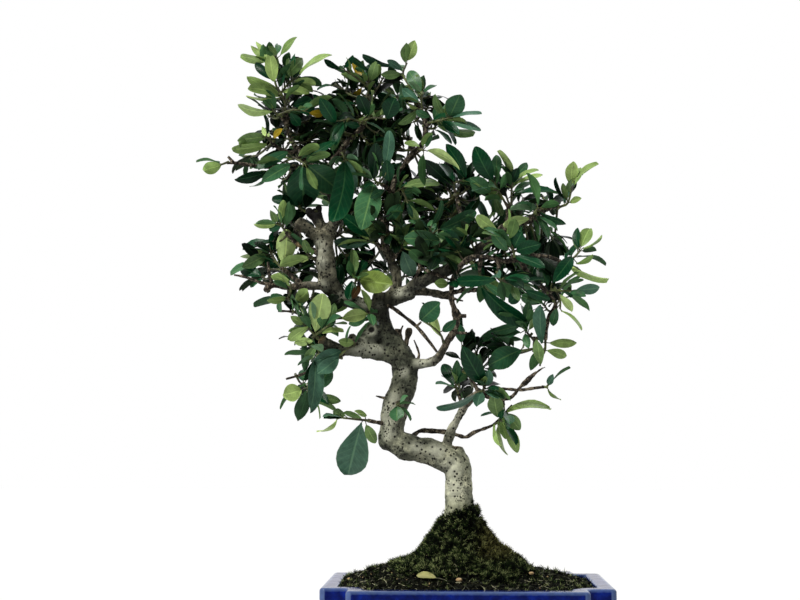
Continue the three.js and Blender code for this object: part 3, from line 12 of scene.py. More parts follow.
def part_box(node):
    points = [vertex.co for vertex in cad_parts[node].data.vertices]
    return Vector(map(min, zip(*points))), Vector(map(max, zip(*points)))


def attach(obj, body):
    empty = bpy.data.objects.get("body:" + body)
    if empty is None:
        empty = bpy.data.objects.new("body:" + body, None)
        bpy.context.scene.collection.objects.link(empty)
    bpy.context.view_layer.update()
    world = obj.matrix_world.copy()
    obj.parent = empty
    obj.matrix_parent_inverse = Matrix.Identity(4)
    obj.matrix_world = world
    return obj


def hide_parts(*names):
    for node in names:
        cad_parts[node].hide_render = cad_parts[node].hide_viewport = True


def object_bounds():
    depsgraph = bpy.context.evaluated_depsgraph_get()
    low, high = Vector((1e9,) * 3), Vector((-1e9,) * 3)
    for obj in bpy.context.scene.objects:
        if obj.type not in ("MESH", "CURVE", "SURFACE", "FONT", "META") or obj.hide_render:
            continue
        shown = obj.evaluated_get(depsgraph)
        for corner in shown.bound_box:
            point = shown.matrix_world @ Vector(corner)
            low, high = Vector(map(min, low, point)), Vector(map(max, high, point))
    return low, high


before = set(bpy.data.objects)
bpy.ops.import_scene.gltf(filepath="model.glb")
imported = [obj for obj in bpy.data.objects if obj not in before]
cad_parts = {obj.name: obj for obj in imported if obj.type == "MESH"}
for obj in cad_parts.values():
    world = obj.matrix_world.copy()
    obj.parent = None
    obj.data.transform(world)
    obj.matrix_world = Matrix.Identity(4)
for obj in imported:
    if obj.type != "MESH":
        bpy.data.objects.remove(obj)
CAD_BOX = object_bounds()

MM = 0.001

# The plant is laid out as it is seen from the front: u runs to the right and v down on an 800 x 600
# sheet, and y is the depth in millimetres, away from the eye. All millimetres are from the pot's
# middle, which the CAD puts at POT_MIDDLE.
EYE = np.array([-8.0, -1071.0, 180.5])
SHEET_WIDTH = 800
SHEET_MIDDLE = (400, 300)
SHEET_DISTANCE = 1344
PITCH = math.radians(5.99)
YAW = math.radians(2.37)
AHEAD = np.array([
    -math.sin(YAW) * math.cos(PITCH),
    math.cos(YAW) * math.cos(PITCH),
    math.sin(PITCH),
])
SIDE = np.array([math.cos(YAW), math.sin(YAW), 0.0])
OVER = np.cross(SIDE, AHEAD)
UP = np.array([0.0, 0.0, 1.0])
POT_LOW, POT_HIGH = (np.array(corner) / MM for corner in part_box("pot"))
POT_MIDDLE = (POT_LOW + POT_HIGH) / 2 * (1, 1, 0)


# The point in millimetres that is seen at (u, v) and lies at depth y
def seen(u, v, y):
    ray = AHEAD + SIDE * ((u - SHEET_MIDDLE[0]) / SHEET_DISTANCE)
    ray = ray + OVER * ((SHEET_MIDDLE[1] - v) / SHEET_DISTANCE)
    return EYE + ray * ((y - EYE[1]) / ray[1])


# Where the sheet shows a point
def on_sheet(point):
    ray = point - EYE
    ahead = np.dot(ray, AHEAD)
    return (SHEET_MIDDLE[0] + SHEET_DISTANCE * np.dot(ray, SIDE) / ahead,
            SHEET_MIDDLE[1] - SHEET_DISTANCE * np.dot(ray, OVER) / ahead)


# The size in millimetres of what measures `size` on the sheet and lies at `point`
def seen_size(size, point):
    return size * float(np.dot(point - EYE, AHEAD)) / SHEET_DISTANCE


# Millimetres from the pot's middle to metres in the frame
def to_frame(points):
    return (np.asarray(points, dtype=float) + POT_MIDDLE) * MM


# A repeatable draw between 0 and 1, the same one as in the CAD source
def draw_from(seed):
    whole = 0xFFFFFFFF
    state = seed & whole

    def draw():
        nonlocal state
        state = (state + 0x6D2B79F5) & whole
        t = ((state ^ (state >> 15)) * (state | 1)) & whole
        t ^= (t + ((t ^ (t >> 7)) * (t | 61))) & whole
        return ((t ^ (t >> 14)) & whole) / 4294967296

    return draw


def between(low, high, share):
    return low + (high - low) * share


def unit(vector):
    return vector / np.linalg.norm(vector)


# The part of `vector` at right angles to `axis`, one unit long
def square_to(vector, axis):
    return unit(vector - axis * float(np.dot(vector, axis)))


def turned(vector, axis, angle):
    return (
        vector * math.cos(angle)
        + np.cross(axis, vector) * math.sin(angle)
        + axis * float(np.dot(axis, vector)) * (1 - math.cos(angle))
    )


def eased(value, low, high):
    share = np.clip((np.asarray(value, dtype=float) - low) / (high - low), 0, 1)
    return share * share * (3 - 2 * share)


# An object in the scene
def new_object(name, data):
    made = bpy.data.objects.new(name, data)
    bpy.context.collection.objects.link(made)
    return made


# Camera, stage and light

eye = new_object("camera", bpy.data.cameras.new("camera"))
eye.data.sensor_width = 36
eye.data.lens = eye.data.sensor_width * SHEET_DISTANCE / SHEET_WIDTH
eye.location = to_frame(EYE)
eye.rotation_euler = Matrix((SIDE, OVER, -AHEAD)).transposed().to_euler()
bpy.context.scene.camera = eye


def to_linear(colour):
    shares = [int(colour[i:i + 2], 16) / 255 for i in (1, 3, 5)]
    linear = [s / 12.92 if s <= 0.04045 else ((s + 0.055) / 1.055) ** 2.4 for s in shares]
    return (*linear, 1.0)


# Adds a node and gives back one of its outputs. `inputs` goes to its sockets, in their order or by
# name: a socket is linked, a value is set. `stops` are the places and colours of a colour ramp.
def node(tree, kind, inputs=(), out=0, stops=(), **settings):
    made = tree.nodes.new(kind)
    for name, value in settings.items():
        setattr(made, name, value)
    sockets = [socket for socket in made.inputs if socket.enabled]
    if not isinstance(inputs, dict):
        inputs = {sockets[i].identifier: value for i, value in enumerate(inputs)}
    for key, value in inputs.items():
        if value is None:
            continue
        socket = next((s for s in sockets if s.identifier == key), None)
        socket = socket or next(s for s in sockets if s.name == key)
        if isinstance(value, bpy.types.NodeSocket):
            tree.links.new(value, socket)
        else:
            socket.default_value = value
    if stops:
        marks = made.color_ramp.elements
        while len(marks) < len(stops):
            marks.new(0.5)
        for mark, (place, colour) in zip(marks, stops):
            mark.position = place
            mark.color = to_linear(colour)
    outputs = [socket for socket in made.outputs if socket.enabled]
    if isinstance(out, str):
        return next(socket for socket in outputs if socket.name == out)
    return outputs[out] if outputs else None


# How often something `size` millimetres wide fits in a metre, which is what a pattern's scale is
def every(size):
    return 1 / (size * MM)


# The kinds of node that are used most
PLACE, ATTRIBUTE, NOISE = "ShaderNodeTexCoord", "ShaderNodeAttribute", "ShaderNodeTexNoise"
RANGE, RAMP, MIX, MATH = "ShaderNodeMapRange", "ShaderNodeValToRGB", "ShaderNodeMix", "ShaderNodeMath"
SPLIT, VECTOR_MATH = "ShaderNodeSeparateXYZ", "ShaderNodeVectorMath"
BUMP, SKIN, OUTPUT = "ShaderNodeBump", "ShaderNodeBsdfPrincipled", "ShaderNodeOutputMaterial"
FIELD, RANDOM = "GeometryNodeInputNamedAttribute", "FunctionNodeRandomValue"

# The floor is matt paper that glows a little, as a lit table does, and runs into the white behind
bpy.ops.mesh.primitive_plane_add(size=8.0, location=(0, 0, -0.2 * MM))
floor = bpy.context.object
floor.name = "floor"
paper = bpy.data.materials.new("matt_white_paper")
paper.use_nodes = True
paper.node_tree.nodes.clear()
sheet = node(paper.node_tree, SKIN, {
    "Base Color": to_linear("#A8A8A8"), "Roughness": 0.9, "Specular IOR Level": 0.0,
    "Emission Color": to_linear("#FFFFFF"), "Emission Strength": 0.55})
node(paper.node_tree, OUTPUT, {"Surface": sheet})
floor.data.materials.append(paper)

# The backdrop is white and the room on the eye's side is dim, as in a studio. The eye itself sees
# white all round.
world = bpy.data.worlds.new("white_room")
bpy.context.scene.world = world
world.use_nodes = True
world.node_tree.nodes.clear()
add = partial(node, world.node_tree)
way = add(SPLIT, [add(PLACE, out="Generated")], out="Y")
room = add(RANGE, [way, -0.35, 0.45, 0.16, 1.0])
dimmed = add(MATH, [add("ShaderNodeLightPath", out="Is Diffuse Ray"), -0.35, 1.0], operation="MULTIPLY_ADD")
room = add(MATH, [room, dimmed], operation="MULTIPLY")
room = add(MATH, [room, add("ShaderNodeLightPath", out="Is Camera Ray")], operation="MAXIMUM")
white = add("ShaderNodeBackground", {"Color": to_linear("#FFFFFF"), "Strength": room})
add("ShaderNodeOutputWorld", {"Surface": white})
bpy.context.scene.view_settings.view_transform = "Standard"


# A distant light from the direction of `place`, `width` degrees wide, so that its shadows are soft
def soft_sun(name, place, width, strength, colour):
    lamp = new_object(name, bpy.data.lights.new(name, "SUN"))
    lamp.data.angle = math.radians(width)
    lamp.data.energy = strength
    lamp.data.color = to_linear(colour)[:3]
    lamp.rotation_euler = Vector(place).to_track_quat("Z", "Y").to_euler()


soft_sun("light_over_left_shoulder", (-0.8, -0.7, 1.1), 18, 3.3, "#FFFDF6")
soft_sun("light_from_behind", (0.8, 0.9, 0.9), 40, 0.55, "#F2F7FF")


# The CAD source's own sizes, in millimetres, and how far a foot's lower edge and the drill reach
POT = {"width": 220, "depth": 165, "bite_x": 21, "bite_y": 20.5, "corner_radius": 5,
       "least_radius": 1.5, "least_flat": 1, "cove_radius": 4, "foot_height": 8}
FOOT = {"length": 38, "depth": 15, "from_middle_x": 62, "from_middle_y": 62, "taper": 2,
        "corner_cut": 3, "sunk": 3, "edge": 0.8}
DRAIN = {"radius": 8, "from_middle": 45, "drilled": 24, "height": 14}
TRUNK_FOOT = (-6, 0)
TRUNK_FLARE = [(40, 16.5), (64, 16), (90, 14.6), (108, 13.4), (122, 12)]
FLARE_TOP = (459, 497, 11)
FALLEN_LEAF = {"foot": (-23, -54, 78.9), "tip": (-38, -47, 80.7), "stalk": 5, "width": 7.5,
               "face": (0, -0.9, 1), "arch": 0.06}

# Each limb is a list of (u, v, y, thickness on the sheet); the first point is sunk in its parent
TRUNK_LIMBS = [
    # the upright foot, up to the pruned stub on its shoulder
    [(459, 500, 0, 27.5), (459, 486, 0, 27.5), (458, 472, 0, 27.5), (457.5, 461, 0, 25),
     (457.5, 453, 0, 17), (457, 447.5, 0, 10)],
    # the leg that lies over to the left
    [(459, 468, 0, 21), (449, 460, 0, 27), (436, 454, -1, 27), (425, 451, -2, 26),
     (412, 448, -3, 25.5), (402, 445, -4, 25.5), (391, 440, -4, 21)],
    # the rise and the turn back, up to the fork of the crown
    [(392, 449, -4, 15), (391.5, 442, -4, 24), (391.5, 431, -4, 25), (392.7, 420, -4, 25.5),
     (394.3, 410, -3, 26), (397.3, 400, -2, 26.5), (401.5, 390, -1, 25.5), (404.8, 380, 0, 25),
     (405, 370, 0, 25.5), (403, 360.5, 1, 26), (397, 351, 1, 25.5), (389.5, 341.5, 2, 24),
     (384, 332, 2, 21.5), (381, 321, 3, 19), (380, 310, 3, 18.5), (380, 300, 4, 18),
     (381, 292, 4, 14)],
]
THICK_LIMBS = [
    # left limb and its upright part
    [(379, 308, 3, 14), (366, 306, 1, 15), (356, 303, -2, 14), (348, 300.5, -5, 14),
     (340, 296.5, -8, 15.5), (333, 288, -10, 16), (328.5, 279, -12, 18),
     (326.8, 270, -13, 19.5), (325.5, 260, -14, 19.5), (325, 250, -14, 18.5),
     (323.5, 240, -14, 20), (323, 232, -14, 17)],
    # lower left limb with its cut end
    [(389, 349, 1, 16), (378, 350, -3, 15), (366, 349.5, -9, 14), (356, 350, -15, 12.5),
     (346, 351, -20, 11), (337, 348, -24, 10), (328, 343.5, -28, 9.5), (321, 339.5, -30, 9)],
    # limb along the left, ending in a small stub
    [(336, 291, -9, 9), (326, 287, -12, 8.5), (314, 286, -16, 7.5), (300, 286, -20, 7),
     (286, 287, -24, 6.5), (275, 285, -27, 6), (268, 287, -29, 5), (265, 291, -30, 4)],
    # left fork of the left limb, and its broken end that hangs down
    [(321, 239, -14, 14), (313, 233.5, -16, 12), (305, 227, -18, 11), (297.5, 220.5, -20, 9)],
    [(301, 223, -19, 9), (297.5, 231, -20, 8), (299, 244, -21, 5.5)],
    # right fork of the left limb, up into the top left of the crown
    [(324, 238, -13, 13), (328, 229, -11, 11.5), (334, 220, -8, 10.5), (335, 207, -4, 9),
     (330, 193, 0, 8), (320, 176, 3, 7.5), (307, 160, 5, 6.5), (295, 146, 6, 5.5),
     (288, 132, 4, 5), (286, 120, 2, 4.6), (285, 105, 0, 4)],
    # right limbs: the first one forks into a pale cut end, and a dark limb to the right of the crown
    [(381, 301, 4, 13), (391, 296.5, 3, 12), (400, 293, 1, 11.5), (408, 290.5, 0, 10.5),
     (421, 291, 2, 8.5), (431, 293, 5, 8), (441, 295, 8, 7.5), (452, 297, 10, 6.5)],
    [(398, 294, 1, 11), (407, 289.5, -5, 11.5), (415, 285, -9, 12), (430, 278, -13, 12),
     (445, 272, -15, 11.5), (458, 264, -16, 11), (470, 255, -16, 10), (482, 246, -14, 8.5),
     (494, 236, -11, 8), (505, 228, -8, 7.5), (518, 224, -5, 6.5), (530, 220, -3, 6),
     (540, 212.5, 0, 5.4), (550, 208, 3, 4.8), (560, 206.5, 5, 4.4)],
    # the leader, up through the middle of the crown
    [(391, 297, 2, 11), (396.5, 286, 3, 10.5), (396, 275, 4, 10), (392, 262, 4, 9.5),
     (387, 250, 4, 9), (384, 238, 5, 8.5), (385, 225, 6, 8), (388, 210, 7, 7.5),
     (391, 195, 7, 7), (394, 181, 6, 6.5), (401, 169, 6, 6.2), (410, 158, 6, 6),
     (419, 148, 7, 5.6), (425, 137, 8, 5.2), (425.5, 124, 8, 5), (423, 113, 8, 4.4)],
    # the limb that swings out to the front on the right
    [(405, 364, 0, 9), (415, 363, -4, 8.5), (426, 362.5, -10, 8), (435, 360, -15, 8),
     (441, 352, -18, 7.5), (447, 342, -21, 7), (453, 332, -23, 7), (456, 323, -24, 6.8),
     (456.5, 315, -25, 6.5), (454, 307, -26, 6.3), (451.5, 298, -26, 6), (451.5, 289, -27, 5.8),
     (453, 280, -28, 5.6), (457, 271, -30, 5.4), (463, 263, -32, 5.2), (471, 257, -34, 5),
     (484, 257, -36, 4.8), (497, 259, -37, 4.8), (509, 261, -38, 4.6), (524, 258, -38, 4.4),
     (540, 255.5, -38, 4.2), (552, 258, -38, 4), (561, 262, -38, 3.6)],
    # the lowest right limb, from the shoulder
    [(446, 448, -1, 11), (449, 437, -6, 10), (453, 428, -10, 9.5), (458, 418, -13, 9),
     (463, 408, -15, 8.5), (470, 400, -17, 8), (479, 394, -18, 6.5), (490, 397, -19, 5),
     (501, 398, -20, 4.6), (511, 397, -20, 4.4), (519, 388, -20, 4.2), (530, 378, -20, 4),
     (540, 370, -20, 3.6), (546, 366.5, -20, 3.2)],
]
TWIGS = [
    # from the left limb: a dead black stub, and the twig to its left
    [(324, 229, -12, 8), (318, 218, -13, 6.5), (313, 209, -14, 5)],
    [(322, 254, -14, 7), (313, 250.5, -16, 6), (303, 247, -19, 5.5), (295, 242, -22, 5),
     (286, 232, -25, 4)],
    # the upper left twigs
    [(299, 151, 5.5, 4.6), (288, 152.5, 2, 4), (277, 147, -3, 3.8), (271, 141, -6, 3.4)],
    [(313, 168, 4, 5.5), (300, 167, 0, 5), (285, 167.5, -8, 4.6), (268, 167, -16, 4.2),
     (250, 165, -24, 3.8), (236, 163, -29, 3.6), (227, 163, -32, 3.2)],
    [(234, 163, -29.5, 3.4), (228, 156.5, -31, 2.8)],
    [(322, 179, 3, 6), (331, 163, 6, 5.5), (340, 151, 9, 5.2), (352, 137, 12, 5),
     (362, 128, 14, 4.6), (366, 119, 15, 4.2), (367, 106, 17, 4), (368, 95, 19, 3.6)],
    [(286, 122, 2, 4.4), (280, 116, -4, 3.2)],
    [(306, 160, 5, 5), (300, 158, -6, 4), (297, 158, -14, 3.4)],
    [(340, 151, 9, 4.6), (342.5, 154, 0, 3.4)],
    [(362, 128, 14, 4.4), (362, 124, 4, 3.4)],
    # on the limb along the left
    [(273, 284.5, -27, 4), (262, 283, -30, 3), (245, 277, -32, 2.6), (234, 275, -34, 2.2)],
    [(303, 286, -19, 6), (296, 280, -17, 5.5), (288, 273, -14, 5.2), (282, 268, -12, 4.4)],
    [(273, 285, -27, 4.5), (270, 277, -29, 3.8), (268, 262, -32, 2.4)],
    [(289, 287, -23, 4.5), (289, 294, -24, 3.4)],
    [(324, 259, -14, 5), (314.5, 259, -17, 3.4)],
    [(351, 303, -4, 5), (354, 294, -10, 4), (355, 285, -14, 3.4)],
    # on the lower left limb and the trunk above it
    [(356, 347, -16, 6), (352, 338, -18, 7), (351.5, 335, -18, 4.5)],
    [(324, 340.5, -29, 5), (317, 337, -35, 3.4)],
    [(330, 345, -26, 5), (323, 355, -24, 4.5), (315, 368, -22, 4), (310, 379, -21, 3.4)],
    [(315, 369, -22, 3), (300, 375, -20, 2.6), (286, 379, -19, 2)],
    [(345, 352, -21, 5.5), (340, 357, -27, 3.6)],
    [(377, 319, 2, 4), (358, 319, 4, 3.6), (340, 318, 5, 3.4), (312, 318.5, 2, 3),
     (293, 312, -2, 2.6), (278, 311, -4, 2.2)],
    [(375, 318, 2, 5), (371, 315.5, -8, 3.4)],
    [(381, 331, 2, 10), (372.5, 328.5, -6, 9.5)],
    # stubs and spikes where the trunk turns
    [(398, 346, 1, 9), (398, 335, 1, 7.5), (398.5, 329, 1, 6)],
    [(403, 353, 1, 8), (406.5, 341, 0, 6.5), (409, 331, -1, 6.5), (409.5, 328, -1, 4)],
    [(399, 334, 1, 3), (403, 325.5, 0, 1.2)],
    [(416, 363, -4, 3.5), (419, 354, -7, 2.6), (414, 340, -9, 1.2)],
    # on the trunk below
    [(388, 399, -3, 4), (376, 396, -8, 1.2)],
    [(389, 424, -4, 6), (378, 422.5, -14, 4.6), (368, 420.5, -20, 3.6)],
    [(397, 402, -3, 5), (397.5, 403, -17, 3.4)],
    # the dead twig low on the right
    [(412, 437, 3, 5), (420, 431, 11, 4.6), (432, 431, 15, 4.4), (445, 432, 17, 4.2),
     (457, 435, 19, 4), (466, 437, 20, 3.8), (475, 432, 21, 3.6), (493, 425, 23, 3.3),
     (503, 416, 24, 3), (512, 405, 25, 2.2)],
    # on the leader
    [(388, 252, 4, 5), (380, 246, 2, 4), (376.5, 244, 0, 3.4)],
    [(392, 261, 4, 5), (397, 253, -2, 4), (399, 250.5, -4, 3.4)],
    [(391, 192, 7, 5), (386, 187, 0, 4), (381, 184, -4, 3.4)],
    [(391, 197, 7, 4.5), (396, 193, -3, 3.4)],
    [(415, 153, 6, 4.6), (420, 150, -2, 3.4)],
    [(425.5, 127, 8, 4.5), (430, 123, 3, 3.4)],
    [(423.5, 118, 8, 4.2), (415, 100, 14, 3.8), (409, 86, 18, 3.4)],
    # on the dark limb
    [(415, 284, -9, 4.6), (418, 272, -14, 4), (423, 269, -16, 3.8), (432, 273, -18, 3.6),
     (446, 278, -20, 3.2)],
    [(418, 273, -14, 3.6), (421, 262, -16, 3.4), (426, 256, -17, 3.4), (433, 252.5, -18, 3.2)],
    [(468, 257, -16, 6), (466, 243, -8, 5.2), (463, 228, 0, 4.8), (460, 212, 6, 4.4),
     (455, 190, 10, 3.4)],
    [(503, 230, -8, 5.6), (508, 218, -2, 5), (508, 208, 3, 4.4), (505.5, 203, 5, 3.6)],
    [(508, 211, 2, 4.2), (511, 203, 7, 3.4)],
    [(536, 216, -2, 4.4), (538, 211.5, -9, 3.2)],
    # the thin dark twig across the gap
    [(384, 303, 3, 5), (393, 308, -3, 4), (405, 317, -8, 3.8), (417, 327, -11, 3.6),
     (428, 340, -12, 3.2), (437, 352, -12, 2.8)],
    [(416, 327, -11, 3.2), (421, 322, -13, 2.4)],
    # on the limb that swings out to the front
    [(457, 316, -25, 5), (466, 316, -27, 4)],
    [(453, 333, -23, 4), (467, 333, -27, 2.4)],
    [(451, 298, -26, 3.4), (463, 301, -30, 1.4)],
    [(452, 294, -27, 3.4), (465, 287, -32, 2.2)],
    [(445, 346, -20, 4.4), (443, 341, -28, 3.2)],
    [(509, 261, -38, 4.4), (513, 255, -40, 3.2)],
    [(496, 259, -37, 4.2), (499, 266, -41, 3.8), (498, 273, -44, 3.2)],
    [(481, 257, -36, 4.2), (480, 265, -31, 3.6), (479.5, 272, -28, 3.2)],
    [(519, 259, -38, 5), (526, 270, -33, 4.8), (535, 280, -29, 4.6), (545, 290, -26, 4.6),
     (554, 300, -24, 4.4), (555, 307, -23, 4.4), (549, 316, -21, 4.2), (546, 330, -19, 4),
     (545.5, 340, -18, 3.4)],
    [(548, 293, -25, 4), (553, 290.5, -30, 3.2)],
    [(546, 333, -18, 4), (539, 338, -12, 3.6), (533, 338, -8, 3.2)],
    [(535, 339, -9, 3), (533, 352, -7, 1.8)],
    # on the lowest right limb
    [(482, 394.5, -18, 4.2), (490, 390.5, -23, 3.4), (505, 389, -27, 3.2), (520, 390, -30, 3),
     (535, 388, -32, 3), (544, 387, -33, 2.8)],
    [(479, 394, -18, 5), (475, 385, -15, 4.4), (470, 377, -13, 4.2), (463, 368, -12, 3)],
    [(480, 394, -18, 4.5), (482, 391.5, -26, 3.4)],
    [(463, 408, -15, 4.5), (460, 399, -12, 3.6), (457.5, 391, -10, 3.2)],
    [(503, 398, -20, 4), (503.5, 405, -22, 3.2)],
    # towards the back of the crown
    [(385, 226, 6, 6), (380, 215, 25, 5), (372, 200, 45, 4.4), (365, 190, 60, 3.6)],
    [(326, 233, -11, 7), (335, 235, 15, 6), (340, 232, 38, 5), (342, 222, 60, 3.8)],
    [(452, 268, -15, 7), (460, 262, 10, 6), (470, 255, 38, 5), (480, 245, 62, 3.8)],
    [(413, 155, 6, 5), (412, 148, 25, 4.4), (408, 135, 45, 3.6)],
    [(441, 295, 8, 6), (455, 292, 25, 5.2), (475, 290, 42, 4.6), (495, 290, 58, 3.8)],
]

